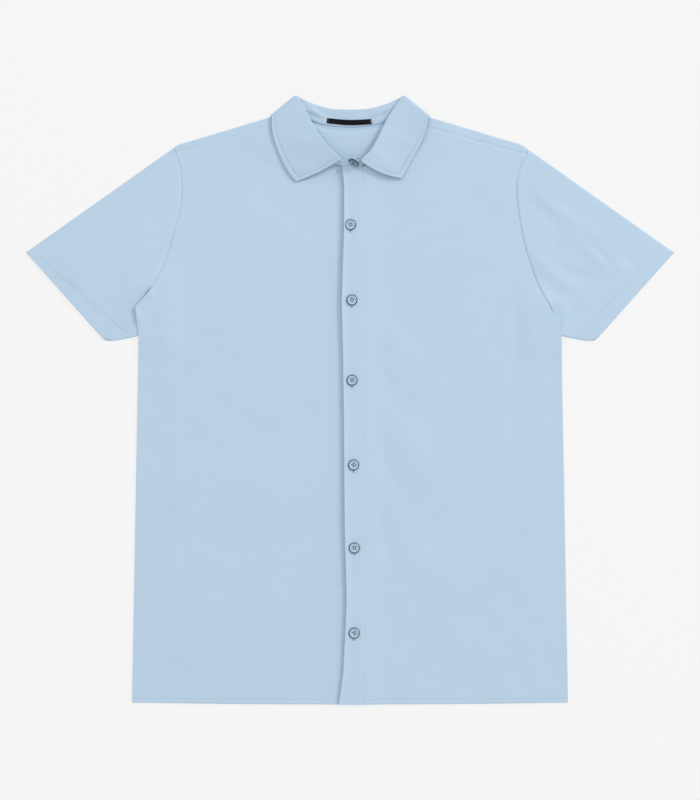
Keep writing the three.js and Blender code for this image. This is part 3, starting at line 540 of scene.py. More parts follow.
def makeBack():  # it turns over each shoulder to meet the front
    cell = body["backCell"]
    parts = []
    for side in (sideRight, sideLeft):
        outward = 1 if side["sign"] < 0 else -1
        shoulder = spaced(side["shoulder"], cell)
        parts.append({
            "shoulder": shoulder, "inset": moved(shoulder, -outward * foldReach),
            "normals": leftNormals(shoulder) * outward,
            "joint": spacedLike(side["line"][0], side["seamAtNeck"], shoulder),
        })
    rightPart, leftPart = parts
    half = spaced(curveThrough([body["neckPoint"], *body["backNeck"]]), cell)
    neck = chained(half * np.array([-1, 1]), half[::-1])
    neck[0], neck[-1] = rightPart["inset"][-1], leftPart["inset"][-1]
    high = chained(rightPart["inset"], neck, leftPart["inset"][::-1])
    low = spacedLike(flip(body["hemCorner"], -1), flip(body["hemCorner"], 1), high)
    hemShare = (low[:, 0] / body["hemCorner"][0]) ** 2
    low[:, 1] = body["hemMiddleY"] * (1 - hemShare) + body["hemCorner"][1] * hemShare
    edges = []
    for side, part in ((sideRight, rightPart), (sideLeft, leftPart)):
        lines = [spaced(line, cell) for line in (*side["side"], side["under"])]
        edges.append(chained(*lines, spaced(chained(side["line"][::-1], part["inset"][:1]), cell)))
    count = max(len(edge) for edge in edges)
    start, end = [pointsAt(edge, np.linspace(0, 1, count)) for edge in edges]
    grid = fill(low, high, start, end)
    x, y = grid[..., 0], grid[..., 1]
    rows = [raised(grid, overCollar(x, y, backRamp) + clothThick / 2)]
    # the turn over each shoulder, then the strip that shows in front of it
    n, m, columns = len(rightPart["shoulder"]), len(leftPart["shoulder"]), len(high)
    middle = columns - n - m
    spread = lambda key: np.vstack([
        rightPart[key], np.repeat(rightPart[key][-1:], middle, axis=0), leftPart[key][::-1],
    ])
    shoulder, inset, normals, joint = [spread(key) for key in ("shoulder", "inset", "normals", "joint")]
    lift = overCollar(shoulder[:, 0], shoulder[:, 1], backRamp)
    for share in (1 / 6, 2 / 6, 3 / 6, 4 / 6, 5 / 6, 1):
        turn = share * math.pi
        flat = inset + normals * foldRadius * math.sin(turn)
        rows.append(raised(flat, foldReach - foldRadius * math.cos(turn) + lift)[None])
    seamLift = overCollar(joint[:, 0], joint[:, 1], frontRamp)
    for share in (0.25, 0.5, 0.72, 0.82, 0.9, 0.96, 1):
        flat = inset * (1 - share) + joint * share
        height = layer + clothThick / 2 + lift * (1 - share) + seamLift * share
        toSeam = np.hypot(*(flat - joint).T)
        rows.append(raised(flat, height - seam["depth"] * bell(toSeam, seam["width"]))[None])
    points = np.concatenate(rows)
    keep = np.ones((points.shape[0] - 1, columns - 1), bool)
    keep[grid.shape[0] - 1:, n - 1:columns - m] = False
    return clothShell("back", points, clothThick, bodyJersey, rounding=0.1, keep=keep)


back = makeBack()
print("stage: back made")

sleeve = {
    "cuffTop": (405.3, 184.8), "cuffLow": (308.5, 76.2), "low": (297, 74.2), "cell": 2.6,
    "hemRise": 0.25, "stitchSink": 0.3, "stitchStep": 1.2, "hemLeast": 4, "hemMost": 0.6,
    "hemSteps": 8, "bodySteps": 62, "turnSteps": 9, "seamStrip": 4, "stitchEnd": 6,
    "puff": 0.9, "seamFade": (0.09, 0.2), "cuffFade": (0.02, 0.12), "climb": 16, "climbFade": (-1, 12),
    "seamLip": {"right": 0.1, "left": 0.5}, "lipAt": 2.5, "lipWidth": 2,
    "seamSink": {"right": 0.25, "left": 0.55},
    "hemLine": {"right": [(-399, 187.3), (-276.9, 79.8)], "left": [(384.6, 190.5), (288.3, 81)]},
}
hemColumn = sleeve["hemSteps"] + 2  # columns from the cuff to the hem's stitched line, the line itself included


def sleeveRows(side):  # flat rows from the armhole to the cuff, with columns that follow the hem
    sign = side["sign"]
    tucked = spaced([side["dip"], side["tuckAt"]], sleeve["cell"])
    start = chained(spaced([side["foldEnd"], side["line"][0]], sleeve["cell"]), side["line"], tucked)
    cuff = spacedLike(flip(sleeve["cuffTop"], sign), flip(sleeve["cuffLow"], sign), start)
    topFold = spaced([start[0], cuff[0]], sleeve["cell"])
    under = curveThrough([start[-1], flip(body["sideTop"], sign), flip(sleeve["low"], sign), cuff[-1]])
    lowFold = pointsAt(under, np.linspace(0, 1, len(topFold)))
    grid = fill(topFold, lowFold, start, cuff)
    a, b = np.array(sleeve["hemLine"][side["name"]])
    step = sleeve["stitchStep"]
    rows = []
    for row in grid:
        length = reachAlong(row)[-1]
        beyond = ((row[:, 0] - a[0]) * (b[1] - a[1]) - (row[:, 1] - a[1]) * (b[0] - a[0])) * -sign
        width = length - np.interp(0, beyond, reachAlong(row))
        width = max(min(width, length * sleeve["hemMost"]), sleeve["hemLeast"])
        fromCuff = np.concatenate([
            np.linspace(0, width - 2 * step, sleeve["hemSteps"]), [width - step, width, width + step],
            np.linspace(width + 2 * step, length - sleeve["seamStrip"], sleeve["bodySteps"]),
            length - np.array(seam["near"][::-1]), [length],
        ])
        rows.append(pointsAt(row, 1 - fromCuff[::-1] / length))
    return np.array(rows)


def makeSleeve(side, creases, material):
    sign = side["sign"]
    grid = sleeveRows(side)
    topFold, lowFold = grid[0], grid[-1]
    low = moved(topFold, -sign * foldReach)
    high = moved(lowFold, sign * foldReach)
    inside = grid.copy()
    inside[0], inside[-1] = low, high
    x, y = inside[..., 0], inside[..., 1]
    rise = sleeveRise(side, x, y)
    rows, columns = grid.shape[:2]
    down = np.linspace(0, 1, rows)[:, None]
    share = np.linspace(0, 1, columns)[None, :]
    fade = np.sin(math.pi * down) * ease(1 - share, *sleeve["seamFade"]) * ease(share, *sleeve["cuffFade"])
    puff = sleeve["puff"] * np.sqrt(np.clip(fade, 0, 1))
    folds = (creaseHeight(creases, x, y) + wander(x, y)) * fade * (1 - rise / layer) + puff
    fromSeam = distanceTo(side["line"], x, y)
    folds += sleeve["seamLip"][side["name"]] * bell(fromSeam - sleeve["lipAt"], sleeve["lipWidth"])
    folds -= sleeve["seamSink"][side["name"]] * bell(fromSeam, seam["width"])
    step = overTuck(side, *side["line"].T) - sleeveRise(side, *side["line"].T)  # up to the front beside the seam
    step = np.interp(y, side["line"][::-1, 1], step[::-1]) * ease(y, *span(side["dip"][1], sleeve["climbFade"]))
    folds += step * bell(fromSeam, sleeve["climb"])
    hem = np.zeros(columns)
    hem[-hemColumn:] = sleeve["hemRise"]
    hem[-hemColumn] = -sleeve["stitchSink"]
    upper = raised(inside, rise + foldReach + foldRadius + folds + hem[None, :])
    lower = raised(inside[::-1], (rise + foldReach - foldRadius)[::-1])
    angles = np.linspace(0, math.pi, sleeve["turnSteps"])[1:-1]
    turns = []
    for rim, inner, order in ((lowFold, high, angles), (topFold, low, angles[::-1])):
        out = unit(rim - inner)
        lift = sleeveRise(side, inner[:, 0], inner[:, 1])
        for angle in order:
            flat = inner + out * foldRadius * math.sin(angle)
            turns.append(raised(flat, foldReach + foldRadius * math.cos(angle) + lift))
    half = len(angles)
    points = np.concatenate([upper, np.array(turns[:half]), lower, np.array(turns[half:])])
    return clothShell("sleeve_" + side["name"], points.transpose(1, 0, 2), clothThick, material, ring=True), upper


sleeveRight, sleeveRightTop = makeSleeve(sideRight, rightSleeveCreases, sleeveJerseyRight)
sleeveLeft, sleeveLeftTop = makeSleeve(sideLeft, leftSleeveCreases, sleeveJerseyLeft)
print("stage: sleeves made")


def makeBand(node, edges, height, rounding):
    y = spaced([(0, body["hemMiddleY"]), (0, body["neckBaseY"])], band["cell"])[:, 1]
    low, high = edges(y)
    share = np.array(band["shares"])[None, :]
    x = low[:, None] * (1 - share) + high[:, None] * share
    grid = np.stack([x, np.repeat(y[:, None], share.size, axis=1)], axis=-1)
    points = raised(grid, height(grid[..., 0], grid[..., 1]) + band["thick"] - band["shown"] / 2)
    return clothShell(node, points, band["shown"], bodyJersey, rounding)


def underBandFloor(x, y):  # the lower band lies level with the front that it is sewn to
    return layer + overCollar(x, y, frontRamp) - band["underSink"]


def upperBandFloor(x, y):
    fromEdge = x - bandEdge(y, "free")
    lift = bandEdge(y, "lift") * (1 - ease(fromEdge, *band["liftFade"]))
    sewn = band["seamSink"] * bell(x - bandEdge(y, "seam"), band["seamSinkWidth"])
    return layer + overCollar(x, y, frontRamp) + band["thick"] + gap + lift - sewn


underPlacket = makeBand(
    "under_placket", lambda y: (y * 0 + band["underLeft"], y * 0 + band["underRight"]), underBandFloor, rounding=0.15,
)
placket = makeBand("placket", lambda y: (bandEdge(y, "free"), bandEdge(y, "seam")), upperBandFloor, rounding=0.4)
print("stage: plackets made")

# the collar

collar = {
    "thick": 1.6, "width": 40, "curve": 1.4, "foldRadius": 0.95, "backZ": 0.8, "steps": 10,
    "liftRight": 1.2, "liftLeft": 3.4, "liftFrom": (4, 7), "stitchLift": 0.6, "frontAbove": 3.5,
    "stitchSink": 0.6, "threadSink": 0.8, "stitchWidth": 0.9, "stitchReach": 16, "stitchEnd": 49, "flap": 2.2,
    "stitchPoints": {"edge": 24, "inward": 161, "across": 60}, "stitchStart": 0.05, "stitchStep": 0.5,
    "turns": [0.12, 0.24, 0.36, 0.5, 0.64, 0.76, 0.88],
    "fromRoll": [0, 0.02, 0.05, 0.1, 0.18, 0.28, 0.4, 0.52, 0.64, 0.76, 0.88, 1],
    "fromEdge": [7.4, 6.8, 6.2, 5.6, 5, 4.4, 3.8, 2, 0], "edgeStrip": 9, "bowStations": 7, "bowAim": 8,
    "creaseRoll": (64.9, 379.7), "creaseEdge": (98, 352.7), "creaseTop": 6.5, "blunt": 2.8,
    "frontInset": 4.6, "cornerInset": 6.2, "shoulderInset": 4.4, "bowRight": 2.1, "bowLeft": 3.6,
    "rightRoll": [
        (-10.6, 300.2, 16.5), (-22.6, 311.6, 14.6), (-35.6, 327.6, 11.6), (-47, 346.5, 8.4), (-56, 364.2, 7),
    ],
    "rightEdge": [
        (-67.5, 273.2, 4.8), (-77.2, 285.5, 4.9), (-86.4, 302.5, 5.4), (-93.6, 321.5, 5.9), (-97.4, 338, 6.3),
    ],
    "leftRoll": [(54.6, 365.5, 7), (45.8, 351, 8.4), (35.8, 330, 11.6), (26.2, 312.4, 14.6), (12.8, 298.2, 16.5)],
    "leftEdge": [(94.8, 338, 6.3), (90.8, 325, 5.9), (82.4, 309, 5.4), (73, 292.5, 4.9), (64.8, 276.9, 4.8)],
    "backRoll": [(-48, 371.6), (-31, 366.2), (-14, 363.9), (14, 363.9), (31, 366.2), (48, 371.6)],
    "backEdge": [(-78, 340), (-50, 328), (-22, 322.2), (22, 322.2), (50, 328), (78, 340)],
}


def creaseAt(sign, turn):  # the collar's crease at the side of the neck
    base = np.array([collar["creaseRoll"], collar["creaseEdge"]]) * np.array([sign, 1])
    along = unit(base[1] - base[0])
    out = np.array([-along[1] * sign, along[0] * sign])
    radius = (collar["creaseTop"] - collar["thick"] / 2) / 2
    flat = base + out * radius * math.sin(turn)
    flat[0] += along * collar["blunt"] * math.sin(turn) ** 2
    z = collar["thick"] / 2 + radius + radius * math.cos(turn)
    return [(*flat[0], z), (*flat[1], z)]


def runThrough(pairs, steps):  # two smooth lines side by side, as pairs of points
    return list(zip(*[curveThrough([pair[k] for pair in pairs], steps) for k in (0, 1)]))


def apart(pairs):
    return [np.array([pair[k] for pair in pairs]) for k in (0, 1)]


right = list(zip(collar["rightRoll"], collar["rightEdge"]))
left = list(zip(collar["leftRoll"], collar["leftEdge"]))
behind = [[(*spot, collar["backZ"]) for spot in pair] for pair in zip(collar["backRoll"], collar["backEdge"])]


def collarStations():  # pairs of roll and edge points all along the collar
    turns = [share * math.pi for share in collar["turns"]]
    pairs = runThrough([*right, creaseAt(-1, 0)], collar["steps"])
    pairs += [creaseAt(-1, turn) for turn in turns]
    pairs += runThrough([creaseAt(-1, math.pi), *behind, creaseAt(1, math.pi)], collar["steps"])
    pairs += [creaseAt(1, turn) for turn in reversed(turns)]
    return apart(pairs + runThrough([creaseAt(1, 0), *left], collar["steps"]))


def leafPoints(roll, edge, part):
    points = roll * (1 - part) + edge * part
    points[..., 2] = edge[..., 2] + (roll[..., 2] - edge[..., 2]) * (1 - part[..., 0]) ** collar["curve"]
    return points


rollLine, edgeLine = collarStations()
leafWidth = np.linalg.norm(edgeLine - rollLine, axis=1)


def frontBow():  # how each station's leaf bows towards the hem, most at the two front ends
    bow = np.zeros((len(rollLine), 3))
    for order, depth in ((slice(None), collar["bowRight"]), (slice(None, None, -1), collar["bowLeft"])):
        k = np.arange(len(rollLine))[order]
        ahead = unit(rollLine[k[0]] - rollLine[k[collar["bowAim"]]])
        side = edgeLine[k[0]] - rollLine[k[0]]
        down = ahead - side * (ahead @ side) / (side @ side)
        fade = bell(np.arange(len(k)), collar["bowStations"])
        bow[k] += unit(down * np.array([1, 1, 0]))[None] * depth * fade[:, None]
    return bow


bowLine = frontBow()


def leafGrid(distances):  # points at distances from the roll, one column each
    part = (distances / leafWidth[:, None])[..., None]
    return leafPoints(rollLine[:, None], edgeLine[:, None], part) + bowLine[:, None] * np.sin(math.pi * part)


def stationAt(station, part):  # a point of the collar by its place along and its share across
    whole = np.arange(len(rollLine))
    roll, edge, bow = [
        np.array([np.interp(station, whole, line[:, axis]) for axis in range(3)])
        for line in (rollLine, edgeLine, bowLine)
    ]
    return leafPoints(roll, edge, np.array([part])) + bow * math.sin(math.pi * part)


def leafStitchLine(sign):  # from the front end, round the corner, back along the outer edge
    last = len(rollLine) - 1
    station = lambda k: k if sign < 0 else last - k
    count, step = collar["stitchPoints"], collar["stitchStep"]
    frontEdge = np.array([stationAt(station(0), part) for part in np.linspace(0, 1, count["edge"])])
    steps = np.linspace(0, collar["stitchReach"], count["inward"])
    across = []
    width = leafWidth[station(0)]
    for part in np.linspace(collar["stitchStart"], 1 - collar["cornerInset"] / width, count["across"]):
        spots = np.array([stationAt(station(k), part) for k in steps])
        away = distanceTo(frontEdge, spots[:, 0], spots[:, 1])
        corner = np.interp(collar["frontInset"], away, steps)
        across.append(stationAt(station(corner), part))
    outer = []
    end = collar["stitchEnd"]
    for k in np.arange(corner + step, end, step):
        share = (k - corner) / (end - corner)
        inset = collar["cornerInset"] * (1 - share) + collar["shoulderInset"] * share
        outer.append(stationAt(station(k), 1 - inset / np.interp(station(k), np.arange(last + 1), leafWidth)))
    return np.array(across + outer)


leafStitches = [leafStitchLine(-1), leafStitchLine(1)]
leafCreases = [
    (-72, 330, -0.1, 40, 9, 0.9), (-60, 318, 0.9, 40, 8, 0.8), (-48, 306, 0.5, 36, 6, -0.7),
    (-80, 352, 0.7, 30, 7, 0.7), (56, 330, -0.3, 40, 8, 0.7), (62, 304, 1.1, 36, 7, -0.7),
    (44, 300, -0.6, 30, 6, 0.7),
]


def makeFall():
    start = collar["foldRadius"] + collar["thick"] / 2
    width = leafWidth[:, None]
    fromRoll = start + (width - start - collar["edgeStrip"]) * np.array(collar["fromRoll"])[None, :]
    distances = np.concatenate([fromRoll, width - np.array(collar["fromEdge"])[None, :]], axis=1)
    leaf = leafGrid(distances)
    lift = np.where(leaf[..., 0] < 0, collar["liftRight"], collar["liftLeft"])
    leaf[..., 2] += lift * ease(leaf[..., 2], *collar["liftFrom"]) * (distances / width) ** 2
    leaf[..., 2] += creaseHeight(leafCreases, leaf[..., 0], leaf[..., 1]) * (leaf[..., 2] > collar["frontAbove"])
    for line in leafStitches:
        sunk = collar["stitchSink"] * bell(distanceTo(line, leaf[..., 0], leaf[..., 1]), collar["stitchWidth"])
        leaf[..., 2] -= sunk * (leaf[..., 2] > collar["frontAbove"])
    across = unit(leaf[:, 1] - leaf[:, 0])
    along = np.gradient(leaf[:, 0], axis=0)
    normal = unit(np.cross(along, across))
    radius = collar["foldRadius"]
    fold = []
    for turn in np.linspace(math.pi, 0, 7)[:-1]:
        fold.append(leaf[:, 0] - across * radius * math.sin(turn) - normal * radius * (1 - math.cos(turn)))
    flap = fold[0] + across * collar["flap"]
    points = np.concatenate([flap[:, None], np.stack(fold, axis=1), leaf], axis=1)
    return clothShell("collar_fall", points, collar["thick"], collarJersey, rounding=0.6)


fall = makeFall()

stand = {
    "inset": 4.3, "backInset": 1.4, "slack": 0.4, "clearFront": 1.3, "clearBack": 0.04, "steps": 8, "rows": 14,
    "frontAlong": [0.93, 0.77, 0.58, 0.38, 0.17], "backAlong": [0.34, 0.6, 0.82, 0.82, 0.6, 0.34],
    "frontZ": 4.6, "seamRise": [4.4, 2, 0.4, 0, 0], "backZ": 2.4, "creaseBelow": 3.6,
    "sideTop": (66.9, 374.5), "sideSeam": (66.2, 361.2),
    "hidden": [(10, 303.6, 12), (10, 296.4, 6.7)], "entry": [(12.6, 296.6, 12.8), (14, 292.7, 7.4)],
    "tabMiddle": [(3.5, 301.9, 14.6), (3, 292.7, 7.3)], "tab": [(-7, 302.6, 14.6), (-12, 293.2, 8)],
}
standCreases = [
    (-50, 368, -0.75, 26, 2.6, 2.4), (-45, 360, -0.4, 30, 2.4, 1.8), (-36, 364, -0.3, 26, 2.2, 1),
    (47, 366, 0.7, 22, 2.4, 2.6), (38, 366, 0.6, 26, 2.2, 2), (32, 359, 0.5, 26, 2.4, 1.8),
    (34, 350, 0.2, 26, 1.8, 1.6),
]


def standStations():  # pairs of top and seam points all along the stand
    def topOf(roll, edge, rise, inset=stand["inset"]):
        roll, edge = np.array(roll, float), np.array(edge, float)
        part = np.array([inset / np.linalg.norm(edge - roll)])
        return leafPoints(roll, edge, part) + np.array([0, 0, rise])

    def seamAt(line, share, clear, z):
        spot = pointsAt(moved(line, clear), [share])[0]
        return np.array([*spot, z])

    def front(side, pairs):
        line = neckLineFront(side, np.array([side["sign"] * band["underRight"], body["neckBaseY"]]))
        order = slice(None) if side["sign"] < 0 else slice(None, None, -1)
        under, clear = -collar["thick"] - gap - stand["slack"], -side["sign"] * stand["clearFront"]
        return [
            (topOf(*pair, under), seamAt(line, share, clear, stand["frontZ"] + up))
            for pair, share, up in zip(pairs, stand["frontAlong"][order], stand["seamRise"][order])
        ]

    backLine = curveThrough([body["neckPoint"], *body["backNeck"]])
    back = []
    for (roll, edge), share in zip(behind, stand["backAlong"]):
        seam = seamAt(backLine, share, -stand["clearBack"], stand["backZ"])
        seam[0] *= np.sign(roll[0])
        back.append((topOf(roll, edge, collar["thick"] + 2 * gap, stand["backInset"]), seam))
    radius = (stand["frontZ"] - stand["backZ"]) / 2

    def turned(sign, share):  # round the side of the neck
        out = radius * math.sin(share * math.pi)
        z = stand["frontZ"] + (stand["backZ"] - stand["frontZ"]) * share
        return [np.array([(x + out) * sign, y, z]) for x, y in (stand["sideTop"], stand["sideSeam"])]

    stations = runThrough([stand["hidden"], *front(sideRight, right), turned(-1, 0)], stand["steps"])
    stations += [turned(-1, share) for share in (0.25, 0.5, 0.75)]
    atBack = runThrough([turned(-1, 1), *back, turned(1, 1)], stand["steps"])
    for _, seam in atBack:  # follows the back's neck edge closely
        seam[1] = np.interp(abs(seam[0]), backLine[::-1, 0], backLine[::-1, 1]) + stand["clearBack"]
    stations += atBack + [turned(1, share) for share in (0.75, 0.5, 0.25)]
    closure = [stand["entry"], stand["tabMiddle"], stand["tab"]]
    return apart(stations + runThrough([turned(1, 0), *front(sideLeft, left), *closure], stand["steps"]))


def makeStand():
    high, low = standStations()
    share = np.linspace(0, 1, stand["rows"])[None, :, None]
    points = high[:, None] * (1 - share) + low[:, None] * share
    inside = np.sin(math.pi * share[..., 0]) * (points[..., 2] < stand["creaseBelow"])
    points[..., 2] += creaseHeight(standCreases, points[..., 0], points[..., 1]) * inside
    return clothShell("collar_stand", points, collar["thick"], collarJersey, rounding=0.15)


standPiece = makeStand()
print("stage: collar made")

# stitches, from one set of nodes that lays short bars along any line

def makeStitchNodes():
    tree = bpy.data.node_groups.new("stitchesAlongLine", "GeometryNodeTree")
    tree.interface.new_socket("Line", in_out="INPUT", socket_type="NodeSocketGeometry")
    for label, kind in (("Pitch", "Float"), ("Length", "Float"), ("Thickness", "Float"), ("Turn", "Float"),
                        ("Unevenness", "Float"), ("Seed", "Int"), ("Thread", "Material")):
        tree.interface.new_socket(label, in_out="INPUT", socket_type="NodeSocket" + kind)
    tree.interface.new_socket("Stitches", in_out="OUTPUT", socket_type="NodeSocketGeometry")
    given = addNode(tree, "NodeGroupInput").node.outputs
    curve = addNode(tree, "GeometryNodeMeshToCurve", {0: given["Line"]})
    even = addNode(tree, "GeometryNodeResampleCurve", {"Curve": curve, "Length": given["Pitch"]}, mode="LENGTH")
    grain = addNode(tree, "GeometryNodeMeshUVSphere", {"Segments": 6, "Rings": 4, "Radius": 0.5})
    tangent = addNode(tree, "GeometryNodeInputTangent")
    along = addNode(tree, "FunctionNodeAlignRotationToVector", {"Vector": tangent}, axis="X")
    spin = addNode(tree, "ShaderNodeCombineXYZ", {"Z": given["Turn"]})
    turned = addNode(tree, "FunctionNodeRotateRotation", {0: along, 1: spin}, rotation_space="LOCAL")
    least = addMath(tree, "SUBTRACT", 1, given["Unevenness"])
    most = addMath(tree, "ADD", 1, given["Unevenness"])
    random = addNode(tree, "FunctionNodeRandomValue", {2: least, 3: most, 8: given["Seed"]}, 1)
    length = addMath(tree, "MULTIPLY", given["Length"], random)
    size = addNode(tree, "ShaderNodeCombineXYZ", {0: length, 1: given["Thickness"], 2: given["Thickness"]})
    laid = addNode(tree, "GeometryNodeInstanceOnPoints", {
        "Points": even, "Instance": grain, "Rotation": turned, "Scale": size,
    })
    real = addNode(tree, "GeometryNodeRealizeInstances", {0: laid})
    dyed = addNode(tree, "GeometryNodeSetMaterial", {"Geometry": real, "Material": given["Thread"]})
    addNode(tree, "NodeGroupOutput", {0: dyed})
    return tree


stitchNodes = makeStitchNodes()


def makeStitches(name, lines, look, thread):
    mesh = bpy.data.meshes.new(name)
    corners, links = [], []
    for line in lines:
        first = len(corners)
        corners += (np.array(line) * mm).tolist()
        links += [(first + i, first + i + 1) for i in range(len(line) - 1)]
    mesh.from_pydata(corners, links, [])
    piece = addPiece(name, mesh, thread)
    rows = piece.modifiers.new("stitches", "NODES")
    rows.node_group = stitchNodes
    values = {
        "Pitch": look["pitch"] * mm, "Length": look["length"] * mm, "Thickness": look["thickness"] * mm,
        "Turn": math.radians(look["turn"]), "Unevenness": look["unevenness"], "Seed": look["seed"], "Thread": thread,
    }
    for item in stitchNodes.interface.items_tree:
        if item.in_out == "INPUT" and item.name in values:
            rows[item.identifier] = values[item.name]
    settle(piece)
    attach(piece, "root")


topStitch = {"pitch": 2.6, "length": 2.1, "thickness": 0.42, "turn": 0, "unevenness": 0.08, "seed": 3}
hemStitch = {**topStitch, "pitch": 2.9, "length": 2.3, "thickness": 0.4, "seed": 5}


def onLeaf(line):  # lifted as the leaf is, and drawn into its groove
    line = line + np.array([0, 0, collar["thick"] / 2])
    lift = np.where(line[:, 0] < 0, collar["liftRight"], collar["liftLeft"])
    part = 1 - collar["cornerInset"] / collar["width"]
    lift = lift * ease(line[:, 2], *span(collar["stitchLift"], collar["liftFrom"])) * part ** 2
    line[:, 2] += lift - collar["stitchSink"] * collar["threadSink"]
    line[:, 2] += creaseHeight(leafCreases, line[:, 0], line[:, 1])
    return line


makeStitches("collar_stitches", [onLeaf(line) for line in leafStitches], topStitch, seamThread)

hemThread = clothThick / 2 - 0.05  # stitches lie a little in the cloth
ends = sleeve["stitchEnd"]
for side, top in ((sideRight, sleeveRightTop), (sideLeft, sleeveLeftTop)):
    line = top[ends:-ends, -hemColumn] + np.array([0, 0, hemThread])
    makeStitches("sleeve_" + side["name"] + "_stitches", [line], hemStitch, seamThread)


def hemLineOf(side):
    x = np.linspace(body["hemCorner"][0] - body["stitchEnd"], body["stitchMiddle"], body["stitchPoints"])
    x = x * side["sign"]
    edge = np.array([flip(body["hemCorner"], side["sign"]), (0, body["hemMiddleY"])])
    y = np.interp(np.abs(x), [0, body["hemCorner"][0]], edge[::-1, 1]) + body["hemStitch"]
    z = frontHeight(side, x, y) + frontDetail(side, x, y) + hemThread
    return np.stack([x, y, z], axis=1)


makeStitches("hem_stitches", [hemLineOf(sideRight), hemLineOf(sideLeft)], hemStitch, seamThread)
print("stage: topstitching made")

# buttons

button = {
    "radius": 6.8, "waist": 5.4, "rimOut": 5.25, "rimIn": 4.2, "dish": 3.5, "height": 2.4, "floor": 1.45,
    "hole": 0.86, "spread": 1.95, "segments": 40, "threadLane": 0.15, "threadRise": 0.16, "threadReach": 1,
    "places": [
        (0.6, 219.1, 20), (2.4, 125.1, -25), (2.6, 25, 8), (4.5, -80.8, 40), (5.4, -184.3, -10), (5.3, -290.6, 30),
    ],
    "collarPlace": (5, 295.9, 15), "collarLean": 57, "collarTwist": -26, "collarTurn": 15, "above": 0.15,
}
bandTop = layer + 2 * band["thick"] + 2 * gap


def buttonMesh():  # turned to its outline, then drilled; its rim, dish, holes and foot take the darker colour: painted shade at the contact ring, the dish slope, in the holes and under the foot, with some deeper rim tone
    r = button
    waist, radius, top, base = r["waist"], r["radius"], r["height"], r["floor"]
    knots = [
        (waist - 1.2, 0.35), (waist, 0.5), (radius - 0.25, 0.85), (radius, 1.2), (radius - 0.3, 1.65),
        (r["rimOut"] + 0.3, top - 0.1), (r["rimOut"] - 0.2, top), (r["rimIn"] + 0.3, top - 0.1),
        (r["rimIn"] - 0.1, base + 0.5), (r["dish"], base + 0.1), (r["dish"] - 0.6, base),
    ]
    outline = np.vstack([[(0.001, 0.35)], curveThrough(knots, 4), [(0.001, base)]])
    turn = np.linspace(0, 2 * math.pi, r["segments"], endpoint=False)
    points = np.stack([
        outline[:, :1] * np.cos(turn)[None], outline[:, :1] * np.sin(turn)[None],
        np.repeat(outline[:, 1:], r["segments"], axis=1),
    ], axis=-1)
    mesh = meshOf("button", points, ring=True)
    mend(mesh, 5e-6)
    blank = addPiece("button_blank", mesh, buttonResin)
    drills = bpy.data.meshes.new("drills")
    work = bmesh.new()
    holeAngles = [(i + 0.5) * math.pi / 2 for i in range(4)]
    holePlaces = [(r["spread"] * math.cos(angle), r["spread"] * math.sin(angle)) for angle in holeAngles]
    for x, y in holePlaces:
        bmesh.ops.create_cone(
            work, cap_ends=True, segments=12, radius1=r["hole"] * mm, radius2=r["hole"] * mm,
            depth=8 * mm, matrix=Matrix.Translation(Vector((x, y, 0)) * mm),
        )
    work.to_mesh(drills)
    work.free()
    drillPiece = addPiece("button_drills", drills, buttonResin)
    cut = blank.modifiers.new("holes", "BOOLEAN")
    cut.operation = "DIFFERENCE"
    cut.solver = "EXACT"
    cut.object = drillPiece
    settle(blank)
    finished = blank.data
    bpy.data.objects.remove(blank)
    bpy.data.objects.remove(drillPiece)
    spots = np.array([v.co for v in finished.vertices], float) / mm
    # painted shade mask: the outer contact ring, the dish slope, the holes and the foot darken, partly a deeper rim
    # tone
    reach = np.hypot(spots[:, 0], spots[:, 1])
    rim = ease(reach, r["rimOut"], r["rimOut"] + 0.6)
    rim = np.maximum(rim, 0.4 * (1 - ease(np.abs(reach - r["dish"] - 0.5), 0.2, 0.7)))
    for x, y in holePlaces:
        toHole = np.hypot(spots[:, 0] - x, spots[:, 1] - y)
        rim = np.maximum(rim, 1 - ease(toHole, r["hole"] + 0.05, r["hole"] + 0.3))
    rim = np.maximum(rim, 1 - ease(spots[:, 2], 0.4, base - 0.1))
    finished.attributes.new("rim", "FLOAT", "POINT").data.foreach_set("value", rim)
    return finished


buttonPattern = buttonMesh()


def placeButton(number, matrix, twist, resin):
    matrix = matrix @ Matrix.Rotation(math.radians(twist), 4, "Z")
    mesh = buttonPattern.copy()
    mesh.transform(matrix)
    name = "button_" + str(number)
    standFor(name, addPiece(name + "_resin", mesh, resin))
    strands = []
    for side in (-1, 1):  # two threads, each from hole to hole
        for lane in (-button["threadLane"], button["threadLane"]):
            y = side * button["spread"] * math.sin(math.pi / 4) + lane
            z, reach = button["floor"] + button["threadRise"], button["threadReach"]
            ends = [Vector((-reach, y, z)), Vector((reach, y, z))]
            strands.append([tuple(matrix @ (end * mm) / mm) for end in ends])
    look = {"pitch": 0.7, "length": 1.5, "thickness": 0.24, "turn": 0, "unevenness": 0.05, "seed": number}
    makeStitches(name + "_thread", strands, look, buttonThreadAndSlitShade)


for i, (x, y, twist) in enumerate(button["places"]):
    lift = float(upperBandFloor(np.array(x), np.array(y)) + band["thick"]) + button["above"]
    placeButton(i + 1, Matrix.Translation(Vector((x, y, max(lift, bandTop))) * mm), twist, buttonResin)
atCollar = Matrix.Translation(Vector(button["collarPlace"]) * mm)
lean = Matrix.Rotation(math.radians(button["collarLean"]), 4, "X")
lean = Matrix.Rotation(math.radians(button["collarTwist"]), 4, "Z") @ lean
# the neck button takes the darkened resin, painted shade
placeButton(7, atCollar @ lean, button["collarTurn"], shadedCollarButtonResin)

